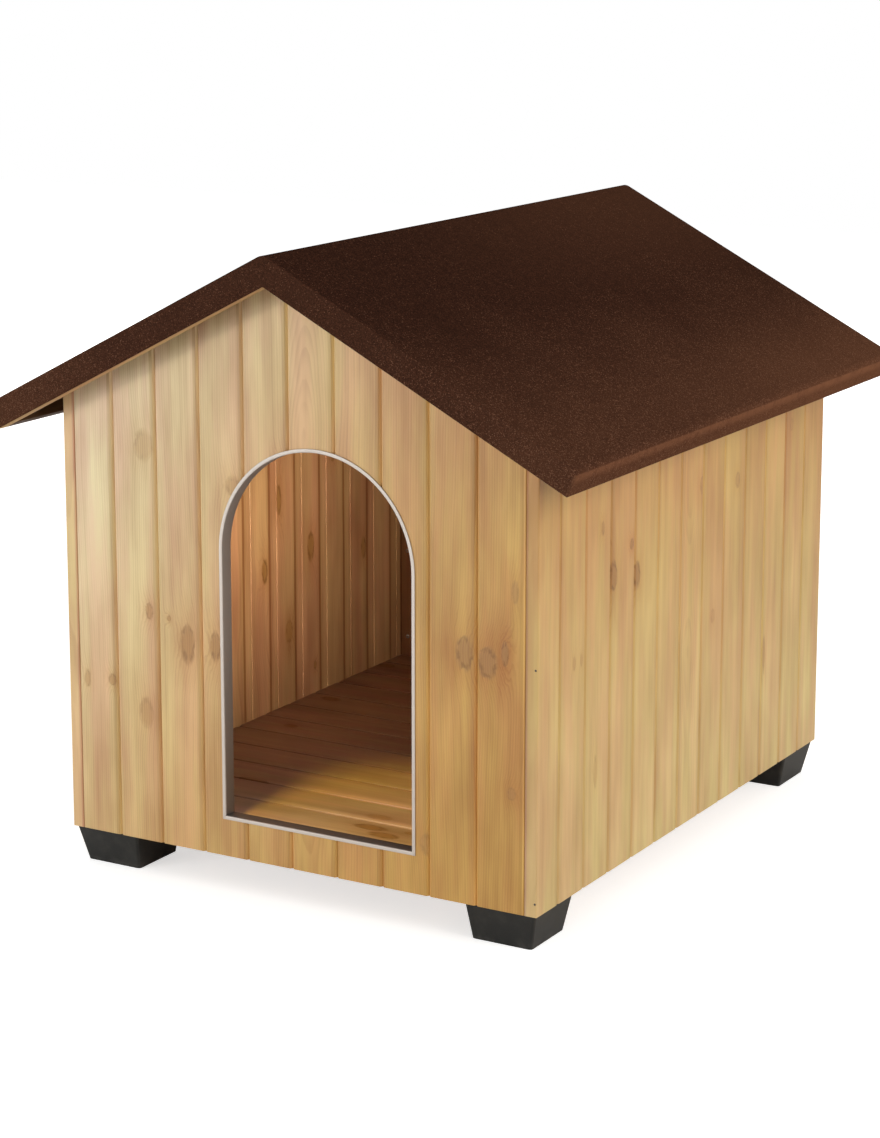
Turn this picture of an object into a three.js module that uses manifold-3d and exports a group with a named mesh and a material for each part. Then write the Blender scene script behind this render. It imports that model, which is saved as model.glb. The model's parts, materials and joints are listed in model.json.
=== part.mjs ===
// Wooden dog kennel: tongue-and-groove walls, an arched door edged in aluminium, plastic feet and
// a felted gable roof, which opens as one piece on hinges along the left wall and is then held up
// by a prop rod. Millimetres, +Z up, the door faces -Y. The origin is on the ground, under the
// middle of the roof.

import * as THREE from 'three';
import { mergeVertices } from 'three/addons/utils/BufferGeometryUtils.js';
import Module from 'manifold-3d';

const wasm = await Module();
wasm.setup();

// ---- Driving dimensions

// House
const wallWidth = 730; // outside, across the front
const wallDepth = 898; // outside, front to back
const ridgeHeight = 877; // ground to where the two slopes of the felt would meet
const roofPitch = THREE.MathUtils.degToRad(27.3);
const eaveReach = 86; // side wall to the outer edge of the felt, measured level
const vergeReach = 60; // front and back walls to the outer face of the felt
const seat = 0.3; // gap left between pieces that touch

// Matchboards
const boardThickness = 18;
const gableBoards = 9; // full boards in the front and back walls, which share what the strip leaves
const gableStrip = 63.4; // and one more, ripped to this width
const sideBoards = 12;
const sideStrip = 58;
const veeDepth = 3; // chamfer along each joint on the show face
const arris = 1; // broken edge elsewhere
const tongueLength = 6;
const tongueThickness = 5;
const boardGap = 0.3; // left at each joint for the wood to move

// Frame inside the walls
const battenDepth = 28; // posts, gable battens and bottom rails, in from the boards
const gableBattenHeight = 45;
const bottomRailHeight = 30;
const topRailWidth = 48;
const topRailHeight = 30;
const topRailDrop = 30; // top rail below the roof deck, at the boards
const bond = 0.2; // how far a glued batten sinks into the boards of its panel

// Floor panel, laid loose on the bottom rails
const floorPlay = 2; // to the side walls and to the frame
const floorBattenWidth = 45;
const floorBattenPlace = 170; // centre of each batten, from the middle
const floorBattenLift = 3; // underside of the battens above the bottom of the walls

// Door
const doorWidth = 290; // clear, between the metal edging
const doorCentre = 37.6; // right of the middle
const sillHeight = 107; // clear edge above the ground
const springHeight = 472; // where the arch starts, above the ground
const edgingSheet = 1.2;
const edgingLip = 5; // clear edge to the outer edge of the lip

// Feet
const footHeight = 50;
const footTop = 104; // square
const footBottom = 88; // square
const footTopInset = 3; // in from the wall faces
const footBottomInset = 14;
const footCorner = 5; // corner radius
const footWall = 4;
const footPillarRadius = 11; // round the screw

// Roof
const deckThickness = 18;
const edgeDepth = 37; // felt's top to the bottom of the verge and eave boards, square to the slope
const edgeBoard = 18; // thickness of the verge and eave boards
const feltThickness = 3;
const feltReveal = 0.6; // bare wood below the folded felt
const ridgeRound = 8; // how far down each slope the felt's bend reaches
const eaveRound = 12; // how far the felt's bend reaches at the eave
const eaveChamfer = 5; // planed off the boards' outer top corner, under that bend
const ridgeBeamWidth = 44;
const ridgeBeamHeight = 55;
const ridgeBeamPlay = 2; // to the gable battens at each end

// Hinges on the left wall
const hingeInset = 149; // middle of each hinge from the end of the wall
const hingeLength = 60;
const hingeSheet = 1.5;
const hingeLeaf = 28; // leaf from the pin to its edge
const knuckleRadius = 4;
const pinRadius = 2;
const pinPlay = 0.3;
const knuckleGap = 0.4;

// Prop rod under the right slope
const openAngle = THREE.MathUtils.degToRad(50);
const rodRadius = 3;
const rodStandoff = 11; // deck to the rod's axis
const rodAcross = 302; // pivot from the middle, so that the rod swings clear of the top rail
const rodInset = 149; // pivot from the front of the house
const rodSeatInset = 38; // boards to the middle of the seat in the top rail
const rodSeatRadius = 5;
const rodSeatDepth = 4;
const eyeRadius = 7;
const eyeThickness = 6;
const lugSheet = 1.5;
const lugPlay = 0.4; // each side of the eye
const lugLength = 12;
const pinProud = 1; // pin past the lugs
const lugBase = 40;
const lugBaseWidth = 14;
const clipLength = 14;
const clipFromEnd = 70; // clip to the rod's foot
const clipJaw = 6; // how far the jaws reach past the rod's axis

const overcut = 1; // how far a cutter runs past what it cuts
const arcSteps = 12;
const roundSides = 20;

// ---- Worked out from them

const halfWidth = wallWidth / 2;
const halfDepth = wallDepth / 2;
const gableWidth = wallWidth - 2 * ( boardThickness + seat ); // between the side walls
const gableCover = ( gableWidth - gableStrip ) / gableBoards; // width of a full board that shows
const sideCover = ( wallDepth - sideStrip ) / sideBoards;
const roofHalfLength = halfDepth + vergeReach;
const innerHalfWidth = halfWidth - boardThickness;
const innerHalfDepth = halfDepth - boardThickness;
const wallBottom = footHeight;
const slopeLength = ( halfWidth + eaveReach ) / Math.cos( roofPitch );
const deckTop = feltThickness + seat; // depths below the felt's top, square to the slope
const deckUnder = deckTop + deckThickness;
const bottomRailTop = wallBottom + bottomRailHeight;
const floorTop = bottomRailTop + seat + boardThickness;
const topRailTop = roofPlane( innerHalfWidth, deckUnder ) - topRailDrop;
const hingePlace = halfDepth - hingeInset;
const rodAlong = rodInset - halfDepth;

// Height of the plane that lies the given depth below the felt's top, at x.
function roofPlane( x, depth ) {

	return ridgeHeight - Math.abs( x ) * Math.tan( roofPitch ) - depth / Math.cos( roofPitch );

}

// Point on the right slope: a distance down it from the ridge, and a depth below the felt's top.
// side -1 gives the left slope.
function slopePoint( down, depth, side = 1 ) {

	const x = down * Math.cos( roofPitch ) - depth * Math.sin( roofPitch );
	const z = ridgeHeight - down * Math.sin( roofPitch ) - depth * Math.cos( roofPitch );
	return new THREE.Vector2( side * x, z );

}

// Outline of a block lying along a slope.
function slopeBlock( near, far, top, low, side ) {

	return new THREE.Shape( [
		slopePoint( near, top, side ),
		slopePoint( far, top, side ),
		slopePoint( far, low, side ),
		slopePoint( near, low, side )
	] );

}

// ---- Materials

const finish = ( color, roughness, metalness = 0 ) => ( { color, roughness, metalness } );
const pine = finish( 0xc79a5c, 0.55 );
const frameWood = finish( 0xcfae7c, 0.7 );
const plywood = finish( 0x553827, 0.7 );
const felt = finish( 0x3a241b, 0.95 );
const aluminium = finish( 0xc9c3ba, 0.35, 0.9 );
const plastic = finish( 0x2b2b29, 0.5 );
const zinc = finish( 0xa9adb0, 0.4, 0.85 );

// ---- Solids

// A closed three.js geometry as a solid that can be cut and joined.
function solid( geometry ) {

	const bare = geometry.clone();
	bare.deleteAttribute( 'normal' );
	bare.deleteAttribute( 'uv' );
	const merged = mergeVertices( bare, 1e-4 );
	return new wasm.Manifold( new wasm.Mesh( {
		numProp: 3,
		vertProperties: new Float32Array( merged.getAttribute( 'position' ).array ),
		triVerts: new Uint32Array( merged.getIndex().array )
	} ) );

}

function named( name, body, look, parent ) {

	const cut = body.getMesh();
	const geometry = new THREE.BufferGeometry();
	geometry.setAttribute( 'position', new THREE.BufferAttribute( cut.vertProperties, 3 ) );
	geometry.setIndex( new THREE.BufferAttribute( cut.triVerts, 1 ) );
	geometry.computeVertexNormals();
	const mesh = new THREE.Mesh( geometry, new THREE.MeshStandardMaterial( look ) );
	mesh.name = name;
	parent.add( mesh );
	return mesh;

}

const xAxis = new THREE.Vector3( 1, 0, 0 );
const yAxis = new THREE.Vector3( 0, 1, 0 );
const zAxis = new THREE.Vector3( 0, 0, 1 );

// An outline in the plane of two axes, swept along the third, which is their cross product.
function sweep( shape, across, up, from, to ) {

	const settings = { depth: to - from, bevelEnabled: false, curveSegments: arcSteps };
	const geometry = new THREE.ExtrudeGeometry( shape, settings );
	geometry.translate( 0, 0, from );
	const along = new THREE.Vector3().crossVectors( across, up );
	geometry.applyMatrix4( new THREE.Matrix4().makeBasis( across, up, along ) );
	return solid( geometry );

}

const sweepX = ( shape, from, to ) => sweep( shape, yAxis, zAxis, from, to );
const sweepY = ( shape, from, to ) => sweep( shape, xAxis, zAxis, - to, - from );
const sweepZ = ( shape, from, to ) => sweep( shape, xAxis, yAxis, from, to );

function polygon( ...corners ) {

	return new THREE.Shape( corners.map( ( corner ) => new THREE.Vector2( ...corner ) ) );

}

const span = ( a, b ) => [ Math.min( a, b ), Math.max( a, b ) ];

function box( x0, x1, y0, y1, z0, z1 ) {

	const geometry = new THREE.BoxGeometry( x1 - x0, y1 - y0, z1 - z0 );
	geometry.translate( ( x0 + x1 ) / 2, ( y0 + y1 ) / 2, ( z0 + z1 ) / 2 );
	return solid( geometry );

}

// A round bar along Y, between two places on the line through (x, z).
function barY( radius, x, z, from, to ) {

	const geometry = new THREE.CylinderGeometry( radius, radius, to - from, roundSides );
	geometry.translate( x, ( from + to ) / 2, z );
	return solid( geometry );

}

// ---- Matchboards
// Each wall is built in its own frame: x along it, y in from its show face, z up.

// Where each board of a panel starts and ends, from the left: the ripped one, if there is one, and
// then the full ones.
function boardRuns( strip, full, cover ) {

	const runs = [];
	let start = - ( strip + full * cover ) / 2;
	const widths = new Array( full ).fill( cover );
	if ( strip > 0 ) widths.unshift( strip );
	widths.forEach( ( width, i ) => {

		runs.push( { start, end: start + width, first: i === 0, last: i === widths.length - 1 } );
		start += width;

	} );

	return runs;

}

const gableRuns = boardRuns( gableStrip, gableBoards, gableCover );
const sideRuns = boardRuns( sideStrip, sideBoards, sideCover );

// Section of one board. Its show face lies at the depth called face.
function boardSection( run, face = 0 ) {

	const left = run.start + ( run.first ? 0 : boardGap / 2 );
	const right = run.end - ( run.last ? 0 : boardGap / 2 );
	const leftCut = run.first ? arris : veeDepth;
	const rightCut = run.last ? arris : veeDepth;
	const tongueFace = ( boardThickness - tongueThickness ) / 2;
	const corners = [
		[ left + leftCut, 0 ],
		[ right - rightCut, 0 ],
		[ right, rightCut ]
	];
	if ( ! run.last ) {

		corners.push( [ right, tongueFace ], [ run.end + tongueLength, tongueFace ] );
		corners.push( [ run.end + tongueLength, tongueFace + tongueThickness ] );
		corners.push( [ right, tongueFace + tongueThickness ] );

	}

	corners.push( [ right, boardThickness - arris ], [ right - arris, boardThickness ] );
	corners.push( [ left + arris, boardThickness ], [ left, boardThickness - arris ] );
	if ( ! run.first ) {

		const grooveEnd = run.start + tongueLength + boardGap;
		corners.push( [ left, tongueFace + tongueThickness + boardGap ] );
		corners.push( [ grooveEnd, tongueFace + tongueThickness + boardGap ] );
		corners.push( [ grooveEnd, tongueFace - boardGap ], [ left, tongueFace - boardGap ] );

	}

	corners.push( [ left, leftCut ] );
	return polygon( ...corners.map( ( [ along, depth ] ) => [ along, face + depth ] ) );

}

const boardsTop = ridgeHeight; // boards start this tall and are cut to the roof

function joined( bodies ) {

	return bodies.reduce( ( whole, body ) => whole.add( body ) );

}

// All the boards of a panel as one body, before they are cut.
function tallBoards( runs ) {

	return joined( runs.map( ( run ) => sweepZ( boardSection( run ), 0, boardsTop ) ) );

}

// What a side wall may fill: up to the deck, which its tops are bevelled to meet.
function underSlope() {

	const topAt = ( depth ) => roofPlane( halfWidth - depth, deckUnder + seat );
	return sweepX( polygon(
		[ 0, wallBottom ],
		[ boardThickness, wallBottom ],
		[ boardThickness, topAt( boardThickness ) ],
		[ 0, topAt( 0 ) ]
	), - halfDepth, halfDepth );

}

// What a gable wall may fill.
function underGable() {

	const half = gableWidth / 2;
	const top = deckUnder + seat;
	return sweepY( polygon(
		[ - half, wallBottom ],
		[ half, wallBottom ],
		[ half, roofPlane( half, top ) ],
		[ 0, roofPlane( 0, top ) ],
		[ - half, roofPlane( half, top ) ]
	), 0, boardThickness );

}

// One sloping batten behind a gable wall, from the ridge out to the side wall.
function gableBatten( side, inner, outer ) {

	const top = deckUnder + seat;
	const low = top + gableBattenHeight;
	const near = side * seat / 2;
	const far = side * ( innerHalfWidth - seat );
	return sweepY( polygon(
		[ near, roofPlane( near, top ) ],
		[ far, roofPlane( far, top ) ],
		[ far, roofPlane( far, low ) ],
		[ near, roofPlane( near, low ) ]
	), inner, outer );

}

const framedFrom = boardThickness + seat; // battens that are pieces of their own
const framedTo = framedFrom + battenDepth;
const postTop = roofPlane( innerHalfWidth, deckUnder + seat + gableBattenHeight ) - seat;

// A corner post on the side of the given sign, standing on the side wall's bottom rail.
function post( side, inner ) {

	const outer = side * ( innerHalfWidth - seat );
	const inside = outer - side * battenDepth;
	return box( ...span( inside, outer ), inner, framedTo, bottomRailTop + seat, postTop );

}

function crossRail( inner ) {

	const half = innerHalfWidth - battenDepth - 2 * seat;
	return box( - half, half, inner, framedTo, wallBottom, bottomRailTop );

}

const sideTopRail = ( inner ) => box(
	- ( halfDepth - framedTo - seat ), halfDepth - framedTo - seat,
	inner, framedFrom + topRailWidth,
	topRailTop - topRailHeight, topRailTop
);
const sideBottomRail = ( inner ) => box(
	- ( innerHalfDepth - seat ), innerHalfDepth - seat,
	inner, framedTo,
	wallBottom, bottomRailTop
);

function wallFrame( x, y, turn ) {

	const frame = new THREE.Group();
	frame.position.set( x, y, 0 );
	frame.rotation.z = turn;
	kennel.add( frame );
	return frame;

}

// ---- Door

// Outline of the clear door, grown outwards by a margin.
function doorOutline( margin ) {

	const half = doorWidth / 2 + margin;
	const shape = new THREE.Shape();
	shape.moveTo( doorCentre - half, sillHeight - margin );
	shape.lineTo( doorCentre + half, sillHeight - margin );
	shape.lineTo( doorCentre + half, springHeight );
	shape.absarc( doorCentre, springHeight, half, 0, Math.PI, false );
	return shape;

}

const boardCut = edgingSheet + seat; // boards stop this far outside the clear door

// The folded edging, as a closed ring of U section round the boards' cut edge.
function edgingRing() {

	const outside = seat + edgingSheet;
	const front = - outside;
	const back = boardThickness + outside;
	const ring = sweepY( doorOutline( edgingLip ), front, back )
		.subtract( sweepY( doorOutline( 0 ), front - overcut, back + overcut ) );
	const slot = sweepY( doorOutline( edgingLip + overcut ), - seat, boardThickness + seat )
		.subtract( sweepY( doorOutline( edgingSheet ), front, back ) );
	return ring.subtract( slot );

}

// The part of the ring that is the sill, between two mitres.
function sillWedge( rise ) {

	const half = doorWidth / 2;
	const reach = edgingLip + overcut;
	const top = sillHeight + rise;
	return sweepY( polygon(
		[ doorCentre - half, top ],
		[ doorCentre - half - reach, top - reach ],
		[ doorCentre + half + reach, top - reach ],
		[ doorCentre + half, top ]
	), - boardThickness, 2 * boardThickness );

}

// ---- Walls

const kennel = new THREE.Group();

function frontWall() {

	const frame = wallFrame( 0, - halfDepth, 0 );
	const doorHalf = doorWidth / 2 + boardCut;
	const doorway = sweepY( doorOutline( boardCut ), - overcut, boardThickness + overcut );
	const space = underGable().subtract( doorway );
	gableRuns.forEach( ( run, i ) => {

		const name = `front_board_${ i + 1 }`;
		const section = boardSection( run );
		const inDoor = run.start > doorCentre - doorHalf && run.end < doorCentre + doorHalf;
		const board = ( from, to ) => sweepZ( section, from, to ).intersect( space );
		if ( inDoor ) {

			named( `${ name }_lower`, board( 0, springHeight ), pine, frame );
			named( `${ name }_upper`, board( springHeight, boardsTop ), pine, frame );

		} else {

			named( name, board( 0, boardsTop ), pine, frame );

		}

	} );

	const ring = edgingRing();
	const mitreGap = seat * Math.SQRT2;
	named( 'door_edging_arch', ring.subtract( sillWedge( mitreGap ) ), aluminium, frame );
	named( 'door_edging_sill', ring.intersect( sillWedge( 0 ) ), aluminium, frame );

	named( 'front_bottom_rail', crossRail( framedFrom ), frameWood, frame );
	for ( const [ word, side ] of [ [ 'left', - 1 ], [ 'right', 1 ] ] ) {

		named( `front_post_${ word }`, post( side, framedFrom ), frameWood, frame );
		named( `front_gable_batten_${ word }`, gableBatten( side, framedFrom, framedTo ), frameWood, frame );

	}

}

function rightWall() {

	const frame = wallFrame( halfWidth, 0, Math.PI / 2 );
	sideRuns.forEach( ( run, i ) => {

		const board = sweepZ( boardSection( run ), 0, boardsTop ).intersect( underSlope() );
		named( `right_board_${ i + 1 }`, board, pine, frame );

	} );

	// The prop rod's foot stands in a drilled seat in the top rail.
	const drill = new THREE.CylinderGeometry( rodSeatRadius, rodSeatRadius, 2 * rodSeatDepth, roundSides );
	drill.rotateX( Math.PI / 2 );
	drill.translate( rodAlong, boardThickness + rodSeatInset, topRailTop );
	named( 'right_top_rail', sideTopRail( framedFrom ).subtract( solid( drill ) ), frameWood, frame );
	named( 'right_bottom_rail', sideBottomRail( framedFrom ), frameWood, frame );

}

// The left and back walls are made up as panels, glued to their own rails and battens.
function leftWall() {

	const frame = wallFrame( - halfWidth, 0, - Math.PI / 2 );
	const boards = tallBoards( sideRuns ).intersect( underSlope() );
	const glued = boardThickness - bond;
	const rails = [ sideTopRail( glued ), sideBottomRail( glued ) ];
	named( 'left_wall', joined( [ boards, ...rails ] ), pine, frame );

}

function backWall() {

	const frame = wallFrame( 0, halfDepth, Math.PI );
	const boards = tallBoards( gableRuns ).intersect( underGable() );
	const glued = boardThickness - bond;
	const battens = [ - 1, 1 ].map( ( side ) => gableBatten( side, glued, framedTo ) );
	const posts = [ - 1, 1 ].map( ( side ) => post( side, glued ) );
	named( 'back_wall', joined( [ boards, ...battens, ...posts, crossRail( glued ) ] ), pine, frame );

}

// ---- Floor

function floorPanel() {

	const halfX = innerHalfWidth - floorPlay;
	const down = zAxis.clone().negate();
	const boards = joined( boardRuns( 0, sideBoards, sideCover ).map( ( run ) => {

		return sweep( boardSection( run, - floorTop ), yAxis, down, - halfX, halfX );

	} ) );
	const battens = [ - 1, 1 ].map( ( side ) => box(
		side * floorBattenPlace - floorBattenWidth / 2, side * floorBattenPlace + floorBattenWidth / 2,
		- ( halfDepth - framedTo - floorPlay ), halfDepth - framedTo - floorPlay,
		wallBottom + floorBattenLift, floorTop - boardThickness + bond
	) );
	const notch = framedTo - boardThickness + floorPlay;
	const notches = [ - 1, 1 ].flatMap( ( sideX ) => [ - 1, 1 ].map( ( sideY ) => box(
		...span( sideX * ( innerHalfWidth - notch ), sideX * innerHalfWidth ),
		...span( sideY * ( innerHalfDepth - notch ), sideY * innerHalfDepth ),
		0, ridgeHeight
	) ) );
	named( 'floor_panel', joined( [ boards, ...battens ] ).subtract( joined( notches ) ), pine, kennel );

}

// ---- Feet

// A rounded rectangle's corners, always with the same number of points.
function roundedRing( x0, x1, y0, y1, radius ) {

	const shape = new THREE.Shape();
	shape.absarc( x1 - radius, y1 - radius, radius, 0, Math.PI / 2, false );
	shape.absarc( x0 + radius, y1 - radius, radius, Math.PI / 2, Math.PI, false );
	shape.absarc( x0 + radius, y0 + radius, radius, Math.PI, 1.5 * Math.PI, false );
	shape.absarc( x1 - radius, y0 + radius, radius, 1.5 * Math.PI, 2 * Math.PI, false );
	return shape.getPoints( 3 ).slice( 0, - 1 );

}

// A closed solid between two rings of as many points.
function loft( lower, upper, z0, z1 ) {

	const count = lower.length;
	const positions = [];
	lower.forEach( ( p ) => positions.push( p.x, p.y, z0 ) );
	upper.forEach( ( p ) => positions.push( p.x, p.y, z1 ) );
	const index = [];
	for ( let i = 0; i < count; i ++ ) {

		const next = ( i + 1 ) % count;
		index.push( i, next, count + i );
		index.push( next, count + next, count + i );

	}

	for ( let i = 1; i < count - 1; i ++ ) {

		index.push( 0, i + 1, i );
		index.push( count, count + i, count + i + 1 );

	}

	const geometry = new THREE.BufferGeometry();
	geometry.setAttribute( 'position', new THREE.Float32BufferAttribute( positions, 3 ) );
	geometry.setIndex( index );
	return solid( geometry );

}

function foot( name, sideX, sideY ) {

	// The foot's ring for a size and an inset from the wall faces, drawn in by a margin.
	const ring = ( size, inset, margin ) => roundedRing(
		...span( sideX * ( halfWidth - inset - margin ), sideX * ( halfWidth - inset - size + margin ) ),
		...span( sideY * ( halfDepth - inset - margin ), sideY * ( halfDepth - inset - size + margin ) ),
		footCorner - margin
	);
	const body = ( margin, from, to ) => loft(
		ring( footBottom, footBottomInset, margin ),
		ring( footTop, footTopInset, margin ),
		from, to
	);
	const top = footHeight - seat;
	const hollow = body( footWall, footWall, top + overcut );
	const root = footWall / 2;
	const pillar = new THREE.CylinderGeometry( footPillarRadius, footPillarRadius, top - root, roundSides );
	const middle = footBottomInset + footBottom / 2;
	pillar.rotateX( Math.PI / 2 );
	pillar.translate( sideX * ( halfWidth - middle ), sideY * ( halfDepth - middle ), ( top + root ) / 2 );
	named( name, body( 0, 0, top ).subtract( hollow ).add( solid( pillar ) ), plastic, kennel );

}

// ---- Roof

const deckEnd = slopeLength - feltThickness - seat - edgeBoard - seat;
const edgeOuter = slopeLength - feltThickness - seat;
const vergeOuter = roofHalfLength - feltThickness - seat;
const vergeInner = vergeOuter - edgeBoard;

// The corner that is planed off the boards along an eave.
function eaveCorner( side ) {

	const corner = new THREE.Shape( [
		slopePoint( edgeOuter - eaveChamfer - overcut, deckTop - overcut, side ),
		slopePoint( edgeOuter + overcut, deckTop - overcut, side ),
		slopePoint( edgeOuter + overcut, deckTop + eaveChamfer + overcut, side )
	] );
	return sweepY( corner, - roofHalfLength, roofHalfLength );

}

// A board lying in one slope, with a plumb cut at the ridge.
function slopedFromRidge( side, end, top, low, from, to ) {

	const near = side * seat / 2;
	const upper = slopePoint( end, top, side );
	const lower = slopePoint( end, low, side );
	return sweepY( polygon(
		[ near, roofPlane( near, top ) ],
		[ upper.x, upper.y ],
		[ lower.x, lower.y ],
		[ near, roofPlane( near, low ) ]
	), from, to );

}

function roofSide( word, side ) {

	const deckReach = vergeInner - seat;
	const deck = slopedFromRidge( side, deckEnd, deckTop, deckUnder, - deckReach, deckReach );
	named( `roof_deck_${ word }`, deck, plywood, kennel );
	const corner = eaveCorner( side );
	const verge = ( from, to ) =>
		slopedFromRidge( side, edgeOuter, deckTop, edgeDepth, from, to ).subtract( corner );
	named( `front_verge_${ word }`, verge( - vergeOuter, - vergeInner ), frameWood, kennel );
	named( `back_verge_${ word }`, verge( vergeInner, vergeOuter ), frameWood, kennel );

	const block = slopeBlock( edgeOuter - edgeBoard, edgeOuter, deckTop, edgeDepth, side );
	const eave = sweepY( block, - deckReach, deckReach ).subtract( corner );
	named( `eave_board_${ word }`, eave, frameWood, kennel );

}

function ridgeBeam() {

	const top = deckUnder + seat;
	const half = ridgeBeamWidth / 2;
	const low = roofPlane( 0, top ) - ridgeBeamHeight;
	const reach = halfDepth - framedTo - ridgeBeamPlay;
	named( 'ridge_beam', sweepY( polygon(
		[ 0, roofPlane( 0, top ) ],
		[ half, roofPlane( half, top ) ],
		[ half, low ],
		[ - half, low ],
		[ - half, roofPlane( half, top ) ]
	), - reach, reach ), frameWood, kennel );

}

// The felt covers both slopes in one sheet and is folded down over the verges and eaves.
function roofFelt() {

	const drop = edgeDepth - feltReveal;
	const outer = new THREE.Shape();
	const bend = ( from, over, to ) => {

		outer.lineTo( from.x, from.y );
		outer.quadraticCurveTo( over.x, over.y, to.x, to.y );

	};

	const eave = ( side ) => [
		slopePoint( slopeLength, eaveRound, side ),
		slopePoint( slopeLength, 0, side ),
		slopePoint( slopeLength - eaveRound, 0, side )
	];
	const end = slopePoint( slopeLength, drop );
	outer.moveTo( 0, roofPlane( 0, drop ) );
	outer.lineTo( end.x, end.y );
	bend( ...eave( 1 ) );
	bend( slopePoint( ridgeRound, 0 ), slopePoint( 0, 0 ), slopePoint( ridgeRound, 0, - 1 ) );
	bend( ...eave( - 1 ).reverse() );
	outer.lineTo( - end.x, end.y );

	const within = slopeLength - feltThickness;
	const below = 2 * edgeDepth;
	const hollow = new THREE.Shape( [
		new THREE.Vector2( 0, roofPlane( 0, feltThickness ) ),
		slopePoint( within - eaveChamfer, feltThickness ),
		slopePoint( within, feltThickness + eaveChamfer ),
		slopePoint( within, below ),
		new THREE.Vector2( 0, roofPlane( 0, below ) ),
		slopePoint( within, below, - 1 ),
		slopePoint( within, feltThickness + eaveChamfer, - 1 ),
		slopePoint( within - eaveChamfer, feltThickness, - 1 )
	] );
	const innerLength = roofHalfLength - feltThickness;
	const sheet = sweepY( outer, - roofHalfLength, roofHalfLength )
		.subtract( sweepY( hollow, - innerLength, innerLength ) );
	named( 'roof_felt', sheet, felt, kennel );

}

// ---- Hinges: the pin lies where the left wall's face meets the underside of the deck

const pinDepth = deckUnder + seat + knuckleRadius;
const pinX = - ( halfWidth + seat + knuckleRadius );
const pinZ = roofPlane( pinX, pinDepth );

function hinge( number, place ) {

	const end = hingeLength / 2;
	const third = hingeLength / 6;
	const clear = knuckleRadius + seat;
	const middle = [ place - third - knuckleGap, place + third + knuckleGap ];

	const face = - halfWidth - seat;
	const wallPlate = box( face - hingeSheet, face, place - end, place + end, pinZ - hingeLeaf, pinZ );
	const wallLeaf = joined( [
		wallPlate.subtract( barY( clear, pinX, pinZ, ...middle ) ),
		barY( knuckleRadius, pinX, pinZ, place - end, middle[ 0 ] ),
		barY( knuckleRadius, pinX, pinZ, middle[ 1 ], place + end ),
		barY( pinRadius, pinX, pinZ, place - end, place + end )
	] );
	named( `hinge_wall_leaf_${ number }`, wallLeaf, zinc, kennel );

	const pinDown = ( Math.abs( pinX ) + pinDepth * Math.sin( roofPitch ) ) / Math.cos( roofPitch );
	const against = deckUnder + seat;
	const plate = slopeBlock( pinDown, pinDown + hingeLeaf, against, against + hingeSheet, - 1 );
	const roofLeaf = sweepY( plate, place - end, place + end )
		.subtract( barY( clear, pinX, pinZ, place - end - overcut, place - third ) )
		.subtract( barY( clear, pinX, pinZ, place + third, place + end + overcut ) )
		.add( barY( knuckleRadius, pinX, pinZ, place - third, place + third ) )
		.subtract( barY( pinRadius + pinPlay, pinX, pinZ, place - end, place + end ) );
	named( `hinge_roof_leaf_${ number }`, roofLeaf, zinc, kennel );

}

// ---- Prop rod
// With the roof open, the rod's round foot stands in the seat in the top rail. The foot's place
// is turned back with the roof to find the rod's length and how it hangs while the roof is shut.

const rodFootHeight = topRailTop - rodSeatDepth + seat + rodRadius;
const rodFoot = new THREE.Vector2( innerHalfWidth - rodSeatInset, rodFootHeight );
const rodFootShut = rodFoot.clone().rotateAround( new THREE.Vector2( pinX, pinZ ), - openAngle );
const rodPivot = new THREE.Vector2( rodAcross, roofPlane( rodAcross, deckUnder + rodStandoff ) );
const rodHang = rodFootShut.clone().sub( rodPivot );
const rodLength = rodHang.length();

function barX( radius, half ) {

	const geometry = new THREE.CylinderGeometry( radius, radius, 2 * half, roundSides );
	geometry.rotateZ( Math.PI / 2 );
	return solid( geometry );

}

// A group at the rod's pivot, stowed rod along y, turned about it.
function pivotFrame( turn ) {

	const frame = new THREE.Group();
	frame.position.set( rodPivot.x, rodAlong, rodPivot.y );
	frame.rotation.y = turn;
	kennel.add( frame );
	return frame;

}

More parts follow.
